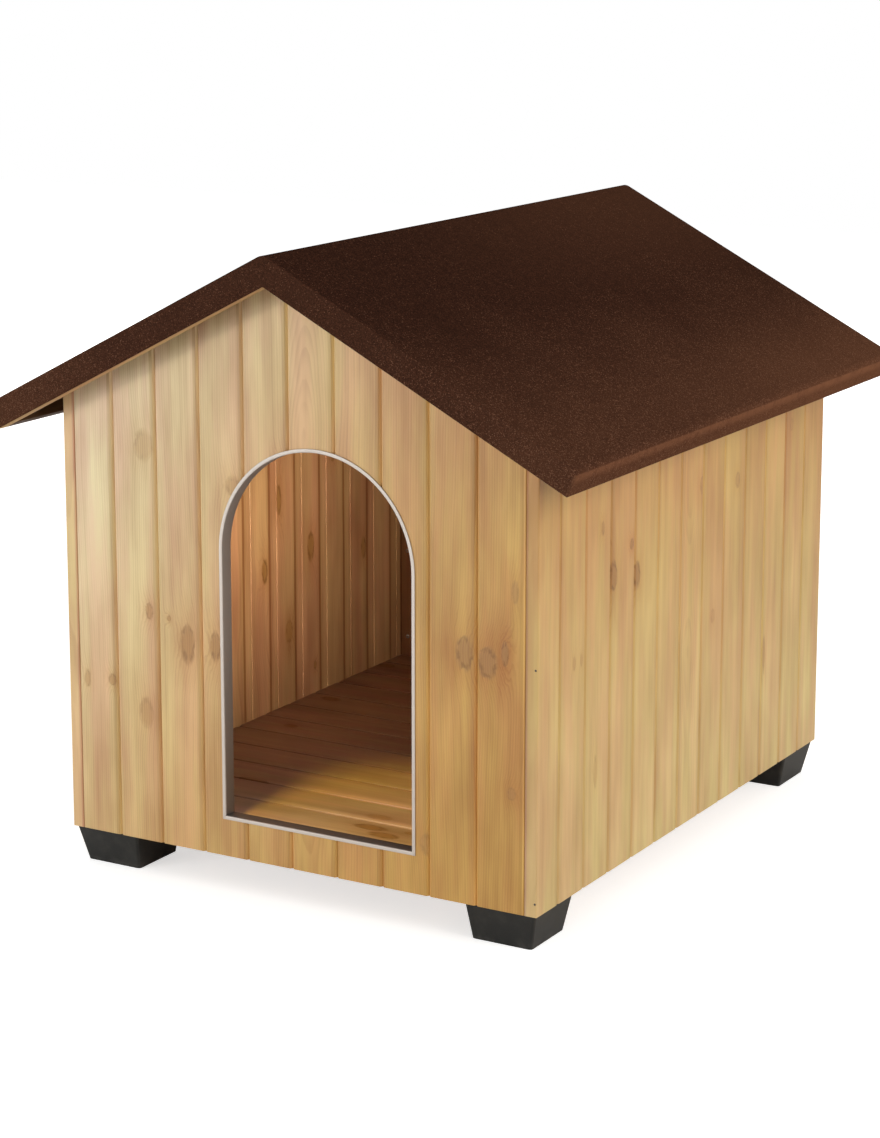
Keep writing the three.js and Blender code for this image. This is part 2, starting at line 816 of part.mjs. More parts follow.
function propRod() {

	const swing = Math.atan2( rodHang.x, rodHang.y ) + Math.PI;
	const outline = new THREE.Path();
	outline.moveTo( 0, 0 );
	outline.lineTo( rodRadius, 0 );
	outline.lineTo( rodRadius, rodLength );
	outline.absarc( 0, rodLength, rodRadius, 0, Math.PI / 2, false );
	const rod = solid( new THREE.LatheGeometry( outline.getPoints( 3 ), roundSides ) )
		.add( barX( eyeRadius, eyeThickness / 2 ) )
		.subtract( barX( pinRadius + pinPlay, eyeThickness ) );
	named( 'prop_rod', rod, zinc, pivotFrame( swing ) );

	// The bracket's lugs and pin lean with the rod, its plate lies on the deck.
	const frame = pivotFrame( roofPitch );
	const against = rodStandoff - seat;
	const base = against - lugSheet;
	const lugInner = eyeThickness / 2 + lugPlay;
	const lugOuter = lugInner + lugSheet;
	const lugEnd = lugLength / 2;
	const lugs = [ - 1, 1 ].map( ( side ) => {

		const middle = side * ( lugInner + lugOuter ) / 2;
		return box( middle - lugSheet / 2, middle + lugSheet / 2, - lugEnd, lugEnd, - lugEnd, against );

	} );
	const lean = THREE.MathUtils.radToDeg( swing - roofPitch );
	const fork = joined( [ ...lugs, barX( pinRadius, lugOuter + pinProud ) ] ).rotate( [ 0, lean, 0 ] );
	const half = lugBaseWidth / 2;
	const plate = box( - half, half, - lugBase / 2, lugBase / 2, base, against );
	const under = box( - lugBase, lugBase, - lugBase, lugBase, - lugBase, against );
	named( 'prop_bracket', fork.add( plate ).intersect( under ), zinc, frame );

	const jawInner = rodRadius + seat;
	const jawOuter = jawInner + lugSheet;
	const clipAt = rodLength - clipFromEnd;
	named( 'prop_clip', sweepY( polygon(
		[ - jawOuter, - clipJaw ],
		[ - jawInner, - clipJaw ],
		[ - jawInner, base ],
		[ jawInner, base ],
		[ jawInner, - clipJaw ],
		[ jawOuter, - clipJaw ],
		[ jawOuter, against ],
		[ - jawOuter, against ]
	), clipAt - clipLength / 2, clipAt + clipLength / 2 ), zinc, frame );

}

frontWall();
rightWall();
leftWall();
backWall();
floorPanel();
foot( 'foot_front_left', - 1, - 1 );
foot( 'foot_front_right', 1, - 1 );
foot( 'foot_back_left', - 1, 1 );
foot( 'foot_back_right', 1, 1 );
roofSide( 'left', - 1 );
roofSide( 'right', 1 );
ridgeBeam();
roofFelt();
hinge( 1, - hingePlace );
hinge( 2, hingePlace );
propRod();

export default kennel;
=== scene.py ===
import json
import math
import bmesh
import bpy
from mathutils import Matrix, Vector


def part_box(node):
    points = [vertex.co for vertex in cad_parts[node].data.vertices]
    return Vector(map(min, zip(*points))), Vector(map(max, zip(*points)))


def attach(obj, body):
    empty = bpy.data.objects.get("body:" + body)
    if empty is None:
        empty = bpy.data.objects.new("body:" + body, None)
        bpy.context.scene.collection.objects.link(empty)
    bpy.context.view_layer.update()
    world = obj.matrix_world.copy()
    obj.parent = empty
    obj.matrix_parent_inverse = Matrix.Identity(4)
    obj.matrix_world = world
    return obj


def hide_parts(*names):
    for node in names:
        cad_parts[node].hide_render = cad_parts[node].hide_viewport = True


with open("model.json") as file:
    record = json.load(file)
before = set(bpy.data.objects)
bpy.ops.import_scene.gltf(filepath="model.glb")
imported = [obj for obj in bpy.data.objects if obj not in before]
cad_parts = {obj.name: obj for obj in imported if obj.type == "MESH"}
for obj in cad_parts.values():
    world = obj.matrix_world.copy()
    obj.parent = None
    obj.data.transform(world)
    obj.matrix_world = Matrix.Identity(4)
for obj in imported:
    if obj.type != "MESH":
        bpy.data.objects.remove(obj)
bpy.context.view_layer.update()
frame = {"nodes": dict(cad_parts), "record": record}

mm = 0.001
gable = {"slope": math.radians(27.3), "ridge": 877 * mm, "eave": 507.5 * mm}  # eave: down the slope
arris = {"board": 0.45 * mm, "frame": 0.8 * mm, "deck": 0.6 * mm, "felt": 1.3 * mm, "foot": 1.2 * mm,
         "metal": 0.25 * mm}


# Where the photograph was taken from

camera = {
    "place": (1.983, -3.470, 1.326),
    "turn": 30.21,  # degrees to the left of straight ahead
    "tilt": 11.21,  # degrees down
    "lens": 90.3,
    "shift": 0.1002,
}


def addCamera():
    data = bpy.data.cameras.new("camera")
    data.sensor_width = 36
    data.lens = camera["lens"]
    data.shift_y = -camera["shift"]
    data.clip_end = 50
    view = bpy.data.objects.new("camera", data)
    view.location = camera["place"]
    view.rotation_euler = (math.radians(90 - camera["tilt"]), 0, math.radians(camera["turn"]))
    bpy.context.scene.collection.objects.link(view)
    bpy.context.scene.camera = view


studio = {
    "floor": 14.0,
    "floorColour": (0.9, 0.9, 0.9, 1),
    "floorGlow": 0.60,  # seen by the camera alone, so the paper reads as white
    "sky": (1.0, 1.0, 1.0, 1),
    "skyStrength": 0.47,
    "suns": {
        "key": {"height": 11, "side": 18, "strength": 0.42, "spread": 7, "colour": (1.0, 0.95, 0.84)},
        # shines straight in at the door and is for the floor alone
        "doorway": {"height": 57, "side": 0, "strength": 1.6, "spread": 12, "colour": (1.0, 0.69, 0.06)},
    },
    "panels": {
        "left": {"place": (-2.1, -3.05, 0.6), "aim": (-0.2, -0.45, 0.5), "size": (1.2, 1.2), "power": 36,
                 "colour": (0.92, 0.97, 1.0)},
        "right": {"place": (4.2, -0.6, 2.0), "aim": (0.3, 0, 0.4), "size": (2.6, 2.6), "power": 97,
                  "colour": (1.0, 0.95, 0.87)},
        # stands in the doorway and shines on the inside of the left wall
        "door": {"place": (0.06, -0.44, 0.42), "aim": (-0.36, 0.04, 0.47), "size": (0.24, 0.36),
                 "power": 1.25, "colour": (1.0, 0.88, 0.66), "spread": 85},
        "back": {"place": (-2.6, 4.2, 1.6), "aim": (0, 0.3, 0.35), "size": (2.2, 2.2), "power": 70,
                 "colour": (1.0, 0.95, 0.87)},
    },
}


def addStudio():
    scene = bpy.context.scene
    scene.view_settings.view_transform = "Standard"
    scene.view_settings.look = "None"
    world = bpy.data.worlds.new("studio")
    scene.world = world
    world.use_nodes = True
    tree = world.node_tree
    tree.nodes.clear()
    out = tree.nodes.new("ShaderNodeOutputWorld")
    seen = addNode(tree, "ShaderNodeBackground", {"Color": studio["sky"], "Strength": 1.0})
    light = addNode(tree, "ShaderNodeBackground", {"Color": studio["sky"], "Strength": studio["skyStrength"]})
    path = tree.nodes.new("ShaderNodeLightPath")
    mix = addNode(tree, "ShaderNodeMixShader", {
        "Fac": path.outputs["Is Camera Ray"], 1: light.outputs[0], 2: seen.outputs[0]})
    tree.links.new(mix.outputs[0], out.inputs["Surface"])

    half = studio["floor"] / 2
    mesh = bpy.data.meshes.new("studioFloor")
    corners = [(-half, -half, 0), (half, -half, 0), (half, half, 0), (-half, half, 0)]
    mesh.from_pydata(corners, [], [(0, 1, 2, 3)])
    floor = bpy.data.objects.new("studioFloor", mesh)
    scene.collection.objects.link(floor)
    paper = bpy.data.materials.new("paper")
    paper.use_nodes = True
    tree = paper.node_tree
    shader = tree.nodes["Principled BSDF"]
    shader.inputs["Base Color"].default_value = studio["floorColour"]
    shader.inputs["Roughness"].default_value = 0.9
    shader.inputs["Emission Color"].default_value = studio["sky"]
    seenDirectly = addNode(tree, "ShaderNodeLightPath").outputs["Is Camera Ray"]
    glow = times(tree, seenDirectly, studio["floorGlow"])
    tree.links.new(glow, shader.inputs["Emission Strength"])
    mesh.materials.append(paper)

    for name, sun in studio["suns"].items():
        data = bpy.data.lights.new(name, "SUN")
        data.energy = sun["strength"]
        data.angle = math.radians(sun["spread"])
        data.color = sun["colour"]
        lamp = bpy.data.objects.new(name, data)
        lamp.rotation_euler = (math.radians(90 - sun["height"]), 0, math.radians(-sun["side"]))
        scene.collection.objects.link(lamp)
    for name, panel in studio["panels"].items():
        data = bpy.data.lights.new(name, "AREA")
        data.shape = "RECTANGLE"
        data.size, data.size_y = panel["size"]
        data.energy = panel["power"]
        data.spread = math.radians(panel.get("spread", 180))
        data.color = panel["colour"]
        lamp = bpy.data.objects.new(name, data)
        lamp.location = panel["place"]
        aim = Vector(panel["aim"]) - lamp.location
        lamp.rotation_euler = aim.to_track_quat("-Z", "Y").to_euler()
        lamp.visible_camera = False
        scene.collection.objects.link(lamp)


def lightOnly(lampName, piece):
    lit = bpy.data.collections.new(lampName + "Lit")
    lit.objects.link(piece)
    bpy.data.objects[lampName].light_linking.receiver_collection = lit


# Links each socket or sets its value
def feed(tree, sockets, values):
    for name, value in values.items():
        if isinstance(value, bpy.types.NodeSocket):
            tree.links.new(value, sockets[name])
        else:
            sockets[name].default_value = value


def addNode(tree, kind, inputs=None, **settings):
    node = tree.nodes.new(kind)
    for name, value in settings.items():
        setattr(node, name, value)
    feed(tree, node.inputs, inputs or {})
    return node


def calc(tree, operation, a, b=0.0, c=0.0):
    return addNode(tree, "ShaderNodeMath", {0: a, 1: b, 2: c}, operation=operation).outputs[0]


def plus(tree, a, b):
    return calc(tree, "ADD", a, b)


def minus(tree, a, b):
    return calc(tree, "SUBTRACT", a, b)


def over(tree, a, b):
    return calc(tree, "DIVIDE", a, b)


def larger(tree, a, b):
    return calc(tree, "MAXIMUM", a, b)


def times(tree, first, *others):
    for other in others:
        first = calc(tree, "MULTIPLY", first, other)
    return first


# a times b, plus c
def timesPlus(tree, a, b, c):
    return calc(tree, "MULTIPLY_ADD", a, b, c)


# Moves base by how far a value lies from its middle
def sway(tree, value, weight, base, middle=0.5):
    return timesPlus(tree, minus(tree, value, middle), weight, base)


def length2d(tree, x, y):
    return calc(tree, "SQRT", plus(tree, times(tree, x, x), times(tree, y, y)))


def parts(tree, source):
    return addNode(tree, "ShaderNodeSeparateXYZ", {"Vector": source}).outputs


def vector(tree, x=0.0, y=0.0, z=0.0):
    return addNode(tree, "ShaderNodeCombineXYZ", {"X": x, "Y": y, "Z": z}).outputs[0]


def noise(tree, place, scale, detail=2.0, roughness=0.5):
    return addNode(tree, "ShaderNodeTexNoise", {
        "Vector": place, "Scale": scale, "Detail": detail, "Roughness": roughness}).outputs["Fac"]


def span(tree, value, low, high, start=0.0, end=1.0, smooth=True):
    kind = "SMOOTHSTEP" if smooth else "LINEAR"
    return addNode(tree, "ShaderNodeMapRange", {
        "Value": value, "From Min": low, "From Max": high, "To Min": start, "To Max": end},
        interpolation_type=kind).outputs["Result"]


def blendColour(tree, amount, a, b, kind="MIX"):
    node = addNode(tree, "ShaderNodeMix", data_type="RGBA", blend_type=kind, clamp_factor=True)
    feed(tree, node.inputs, {0: amount, 6: a, 7: b})
    return node.outputs[2]


def tinted(tree, colour, tint, amount=1.0):
    return blendColour(tree, amount, colour, tint, "MULTIPLY")


# Inputs and outputs are lists of socket names under their kinds
def newGroup(name, inputs, outputs):
    tree = bpy.data.node_groups.new(name, "ShaderNodeTree")
    for way, sockets in (("INPUT", inputs), ("OUTPUT", outputs)):
        for kind, names in sockets.items():
            for socket in names:
                tree.interface.new_socket(socket, in_out=way, socket_type="NodeSocket" + kind)
    source = tree.nodes.new("NodeGroupInput")
    sink = tree.nodes.new("NodeGroupOutput")
    return tree, source.outputs, sink.inputs


def useGroup(tree, group, inputs):
    node = tree.nodes.new("ShaderNodeGroup")
    node.node_tree = group
    feed(tree, node.inputs, inputs)
    return node.outputs


def newMaterial(name, **constants):
    material = bpy.data.materials.new(name)
    material.use_nodes = True
    tree = material.node_tree
    shader = tree.nodes["Principled BSDF"]
    for socket, value in constants.items():
        shader.inputs[socket.replace("_", " ")].default_value = value
    place = addNode(tree, "ShaderNodeTexCoord").outputs["Object"]
    return material, tree, shader, place


# The height is in metres
def finishMaterial(tree, shader, colour, roughness, height):
    bump = addNode(tree, "ShaderNodeBump", {"Height": height, "Strength": 1.0, "Distance": 1.0})
    feed(tree, shader.inputs, {
        "Base Color": colour, "Roughness": roughness, "Normal": bump.outputs["Normal"]})


# A knot adds its heart, its dark rim and the grain's swing round it to those of the knots before it.
def makeKnotGroup():
    names = ["Across", "Along", "Board", "Knot Across", "Knot Along", "Knot Board",
             "Width", "Length", "Strength", "Heart", "Rim", "Swirl"]
    tree, given, made = newGroup("knot", {"Float": names}, {"Float": ["Heart", "Rim", "Swirl"]})
    across = over(tree, minus(tree, given["Across"], given["Knot Across"]), given["Width"])
    along = over(tree, minus(tree, given["Along"], given["Knot Along"]), given["Length"])
    wobble = noise(tree, vector(tree, across, along, times(tree, given["Knot Along"], 37.0)), 1.3, 2)
    far = length2d(tree, across, along)
    far = sway(tree, wobble, 1.1, far)
    same = calc(tree, "COMPARE", given["Board"], given["Knot Board"], 0.5)
    power = times(tree, same, given["Strength"])
    heart = times(tree, span(tree, far, 1.25, 0.55), power)
    rim = times(tree, span(tree, far, 0.55, 0.95), span(tree, far, 1.3, 1.0),
                span(tree, wobble, 0.38, 0.62), power)
    spread = calc(tree, "EXPONENT", times(tree, far, far, -0.2))
    tree.links.new(larger(tree, heart, given["Heart"]), made["Heart"])
    tree.links.new(larger(tree, rim, given["Rim"]), made["Rim"])
    tree.links.new(timesPlus(tree, spread, power, given["Swirl"]), made["Swirl"])
    return tree


def makeBoardGroup():
    tree, given, made = newGroup(
        "boardSplit",
        {"Float": ["Across", "First Joint", "Cover", "Seed"]},
        {"Float": ["Board", "From Low", "From High", "Tone"], "Vector": ["Shift"]})
    count = over(tree, minus(tree, given["Across"], given["First Joint"]), given["Cover"])
    board = calc(tree, "FLOOR", count)
    inside = minus(tree, count, board)
    chance = addNode(tree, "ShaderNodeTexWhiteNoise", {
        "W": timesPlus(tree, given["Seed"], 17.3, board)}, noise_dimensions="1D")
    tree.links.new(board, made["Board"])
    tree.links.new(times(tree, inside, given["Cover"]), made["From Low"])
    rest = minus(tree, 1.0, inside)
    tree.links.new(times(tree, rest, given["Cover"]), made["From High"])
    tree.links.new(chance.outputs["Value"], made["Tone"])
    tree.links.new(chance.outputs["Color"], made["Shift"])
    return tree


grainLook = {
    "ringWidth": 3.6 * mm,
    # each layer: how fine across and along the board, detail, roughness, middle value, share in the colour
    "layers": {
        "streaks": (95.0, 1.6, 3, 0.6, 0.5, 0.8),
        "flames": (34.0, 4.2, 3, 0.55, 0.5, 1.35),
        "clouds": (14.0, 5.0, 2, 0.5, 0.48, 1.3),
        "fibres": (1500.0, 22.0, 2, 0.6, 0.5, 0.22),
    },
    # resin and sapwood pull the colour towards pink or green
    "green": (1.0, 1.03, 0.91, 1),
    "pink": (1.0, 0.89, 0.88, 1),
    # these multiply the wood round a knot and the knot at its rim
    "halo": (1.0, 0.88, 0.74, 1),
    "rim": (0.50, 0.42, 0.32, 1),
    "relief": {"late": 0.12 * mm, "fibres": 0.06 * mm, "clouds": 0.5 * mm, "heart": 0.15 * mm},
}


def makePineGroup():
    tree, given, made = newGroup(
        "pineGrain",
        {"Float": ["Across", "Depth", "Along", "Tone", "Heart", "Rim", "Swirl", "Contrast", "Tone Range"],
         "Vector": ["Shift"], "Color": ["Light", "Dark", "Knot"]},
        {"Color": ["Color"], "Float": ["Roughness", "Height"]})
    shift = parts(tree, given["Shift"])
    along = timesPlus(tree, shift["X"], 9.0, given["Along"])

    def lengthwise(acrossScale, alongScale, detail, roughness=0.5):
        place = vector(tree, times(tree, given["Across"], acrossScale),
                       times(tree, given["Depth"], acrossScale), times(tree, along, alongScale))
        return noise(tree, place, 1.0, detail, roughness)

    # The pith wanders behind the face, so that rings come out as stripes and long arches
    slow = noise(tree, vector(tree, shift["Y"], shift["Z"], along), 1.3, 1)
    bow = noise(tree, vector(tree, shift["Z"], shift["X"], along), 2.6, 2)
    pithAcross = sway(tree, shift["Y"], 0.09, given["Across"])
    pithAcross = sway(tree, slow, 0.05, pithAcross)
    pithDepth = timesPlus(tree, shift["Z"], 0.03, plus(tree, given["Depth"], 0.018))
    pithDepth = sway(tree, bow, 0.07, pithDepth)
    radius = timesPlus(tree, given["Swirl"], 0.016, length2d(tree, pithAcross, pithDepth))
    ringCount = timesPlus(tree, lengthwise(40.0, 3.0, 3), 1.1, over(tree, radius, grainLook["ringWidth"]))
    ring = calc(tree, "FRACT", ringCount)
    year = addNode(tree, "ShaderNodeTexWhiteNoise", {
        "W": calc(tree, "FLOOR", ringCount)}, noise_dimensions="1D").outputs["Value"]
    late = times(tree, span(tree, ring, 0.25, 0.86), span(tree, ring, 1.0, 0.9),
                 span(tree, year, 0, 1, 0.35, 1.0))

    layers = {}
    amount = timesPlus(tree, late, 0.28, 0.05)
    for name, (acrossScale, alongScale, detail, roughness, middle, share) in grainLook["layers"].items():
        layers[name] = lengthwise(acrossScale, alongScale, detail, roughness)
        amount = sway(tree, layers[name], share, amount, middle)
    amount = timesPlus(tree, given["Swirl"], 0.3, amount)
    amount = times(tree, amount, given["Contrast"])
    amount = sway(tree, given["Tone"], given["Tone Range"], amount)
    colour = blendColour(tree, span(tree, amount, -0.3, 1.0, 0, 1, False), given["Light"], given["Dark"])
    hue = lengthwise(26.0, 3.1, 3, 0.55)
    tint = blendColour(tree, span(tree, hue, 0.36, 0.64), grainLook["green"], grainLook["pink"])
    colour = tinted(tree, colour, tint)
    colour = tinted(tree, colour, grainLook["halo"], times(tree, given["Swirl"], 0.7))
    ringed = timesPlus(tree, late, 0.25, 0.75)
    colour = blendColour(tree, times(tree, given["Heart"], ringed), colour, given["Knot"])
    rimColour = tinted(tree, given["Knot"], grainLook["rim"])
    colour = blendColour(tree, times(tree, given["Rim"], 0.7), colour, rimColour)

    shine = timesPlus(tree, late, -0.08, 0.5)
    shine = sway(tree, layers["fibres"], 0.16, shine)
    relief = grainLook["relief"]
    height = times(tree, late, relief["late"])
    height = timesPlus(tree, layers["fibres"], relief["fibres"], height)
    height = timesPlus(tree, layers["clouds"], relief["clouds"], height)
    height = timesPlus(tree, given["Heart"], relief["heart"], height)
    tree.links.new(colour, made["Color"])
    tree.links.new(shine, made["Roughness"])
    tree.links.new(height, made["Height"])
    return tree


pine = {
    "light": (0.73, 0.485, 0.212, 1),
    "dark": (0.43, 0.222, 0.082, 1),
    "insideLight": (0.60, 0.350, 0.195, 1),  # bare wood, out of the varnish's reach
    "insideDark": (0.35, 0.165, 0.085, 1),
    "knot": (0.34, 0.165, 0.050, 1),
    # these multiply the wood: stain with painted shade beside a joint, painted light in it, painted shade in
    # it on the wall's inner side, and a painted highlight on a lit board edge
    "jointShadeAndStain": (0.73, 0.66, 0.50, 1),
    "groove": (1.30, 1.38, 1.52, 1),
    "paintedInnerGrooveShade": (0.62, 0.50, 0.42, 1),
    "litEdges": (1.55, 1.62, 1.80, 1),
    # from a joint: where the stain and painted shade begin and are full, and the same for the groove's
    # painted light
    "jointShadeReach": (9.5 * mm, 5.5 * mm),
    "grooveReach": (3.2 * mm, 2.4 * mm),
    "varnishReach": (13 * mm, 16.5 * mm),  # it thins out between these depths below the outer face
    "coat": 0.3,
    "toneRange": 0.28,
}

floorPine = dict(
    pine,
    light=(0.59, 0.425, 0.345, 1),
    dark=(0.34, 0.215, 0.170, 1),
    # painted shade in the floor's grooves
    groove=(0.7, 0.64, 0.6, 1),
    coat=0.1,
)

# Each wall: which axes run across the boards, into them and along them, its outer face, one of its joints,
# and the knots as (across, along, width, length, strength), in millimetres. The stain pair is the strength of
# the stain and painted shade at a board's low and high joint, and stray is the share of board lengths that
# get a knot by chance.
cover = 70.0
walls = {
    "front": {
        # the stain pair here is painted shade on each board's edge beside its high joint, turned from the
        # light
        "axes": "XYZ", "face": -449, "joint": -283.3, "seed": 3.0, "jointShadeAndStainStrengths": (0.0, 0.9), "contrast": 1.2,
        # painted light: a painted sheen towards the upper left, painted shade in amber towards the lower
        # right
        "paintedLight": {"across": 0.93, "along": -0.5, "from": -0.60, "to": 0.2, "bend": 2.0,
                 "pale": (1.10, 1.37, 2.05, 1), "shadedTint": (0.86, 0.76, 0.51, 1)},
        "corner": {"from": 346.2 * mm, "to": 347.2 * mm, "tint": (1.12, 1.20, 1.24, 1)},
        "tones": (-1, [0.3, 0.45, 0.4, 0.65, 0.6, 0.35, 0.35, 0.55, 0.85, 0.9, 0.3]),
        "knots": [
            (-233, 601, 14, 20, 0.35), (-228, 374, 6, 11, 0.6), (-196, 368, 3, 4, 0.6),
            (-166, 336, 11, 25, 0.8), (-121, 339, 8, 19, 0.85), (-334, 266, 5, 12, 0.45),
            (-292, 270, 6, 8, 0.6), (-236, 232, 11, 20, 0.4), (260, 382, 12, 21, 0.9),
            (293, 374, 13, 19, 0.9), (318, 389, 5, 15, 1.0), (-89, 560, 11, 13, 0.5),
            (332, 470, 5, 14, 0.45), (328, 208, 6, 8, 0.5), (-18, 600, 5, 9, 0.5),
            (205, 120, 10, 14, 0.4)],
    },
    "back": {"axes": "XYZ", "face": 449, "joint": -276.7, "seed": 5.0, "stray": 0.6,
             "groove": (1.04, 1.04, 1.02, 1)},
    "right": {
        "axes": "YXZ", "face": 365, "joint": -391, "seed": 7.0, "groove": (1.04, 1.04, 1.02, 1),
        # painted light: paler low down, painted shade in amber high up under the eave
        "paintedLight": {"across": 0.0, "along": 1.0, "from": 0.06, "to": 0.62, "bend": 1.0,
                 "pale": (1.00, 1.19, 1.32, 1), "shadedTint": (0.84, 0.76, 0.60, 1)},
        "tones": (-1, [0.75, 0.6, 0.4, 0.65, 0.45, 0.5, 0.4, 0.75, 0.6, 0.95, 0.45, 0.7, 0.6]),
        "knots": [
            (-243, 452, 9, 19, 1.0), (-174, 439, 8, 17, 1.0), (-191, 484, 5, 7, 1.0), (-352, 360, 4, 9, 0.4),
            (-332, 360, 3, 8, 0.35), (26, 524, 8, 13, 0.5), (142, 510, 7, 11, 0.55), (247, 231, 4, 26, 0.6),
            (-290, 200, 5, 21, 0.35), (66, 330, 6, 10, 0.3), (330, 560, 6, 10, 0.4),
            (-275, 521, 4, 9, 0.7)],
    },
    "left": {
        "axes": "YXZ", "face": -365, "joint": -399, "seed": 11.0, "stray": 0.35, "contrast": 1.2,
        "outer": (1.04, 1.16, 1.35, 1), "groove": (1.04, 1.04, 1.02, 1),
        "knots": [
            (48, 422, 6, 22, 1.0), (136, 332, 9, 22, 1.0), (8, 319, 7, 18, 1.0), (-60, 500, 6, 12, 0.9),
            (200, 470, 8, 14, 0.8), (290, 300, 7, 16, 0.8)],
    },
    "floor": {
        "axes": "YZX", "face": 98.3, "joint": -420, "seed": 13.0, "stray": 0.5, "wood": floorPine,
        "jointShadeAndStainStrengths": (0.0, 0.0),
        # painted highlight: the boards' edges by the door, where the light falls in, are paler
        "litEdges": {"reach": (22 * mm, 3 * mm), "across": (-0.17, -0.30), "along": (-0.24, 0.06)},
        "knots": [
            (-280, -180, 9, 26, 0.7), (-372, 72, 9, 24, 0.9), (-391, 104, 9, 22, 0.9),
            (-330, 60, 9, 18, 0.5)],
    },
}


unmarked = {"Heart": 0.0, "Rim": 0.0, "Swirl": 0.0}
stray = {"spacing": 0.31, "width": 3 * mm, "widthRange": 7 * mm, "shape": 1.7, "strength": 0.7}


# One knot or none in each length of a board, placed by chance
def strayKnot(tree, across, along, split, wall):
    step = calc(tree, "FLOOR", plus(tree, over(tree, along, stray["spacing"]), split["Tone"]))
    chance = addNode(tree, "ShaderNodeTexWhiteNoise", {
        "Vector": vector(tree, split["Board"], step, wall["seed"])}, noise_dimensions="3D")
    pick = parts(tree, chance.outputs["Color"])
    place = timesPlus(tree, pick["X"], 0.6, plus(tree, split["Board"], 0.2))
    place = timesPlus(tree, place, cover * mm, wall["joint"] * mm)
    high = timesPlus(tree, pick["Y"], 0.6, plus(tree, step, 0.2))
    high = times(tree, minus(tree, high, split["Tone"]), stray["spacing"])
    width = timesPlus(tree, pick["Z"], stray["widthRange"], stray["width"])
    least = 1 - wall["stray"]
    present = span(tree, chance.outputs["Value"], least, least + 0.001, 0, stray["strength"])
    return useGroup(tree, knotGroup, {
        "Across": across, "Along": along, "Board": split["Board"], "Knot Across": place, "Knot Along": high,
        "Knot Board": split["Board"], "Width": width, "Length": times(tree, width, stray["shape"]),
        "Strength": present, **unmarked})


# The tone of each board, counted from the wall's first one
def boardTones(tree, board, first, tones):
    place = over(tree, minus(tree, board, first - 0.5), float(len(tones)))
    ramp = addNode(tree, "ShaderNodeValToRGB", {"Fac": place})
    stops = ramp.color_ramp
    stops.interpolation = "CONSTANT"
    for number, tone in enumerate(tones):
        stop = stops.elements[number] if number < 2 else stops.elements.new(number / len(tones))
        stop.position = number / len(tones)
        stop.color = (tone, tone, tone, 1)
    return addNode(tree, "ShaderNodeSeparateColor", {"Color": ramp.outputs["Color"]}).outputs["Red"]


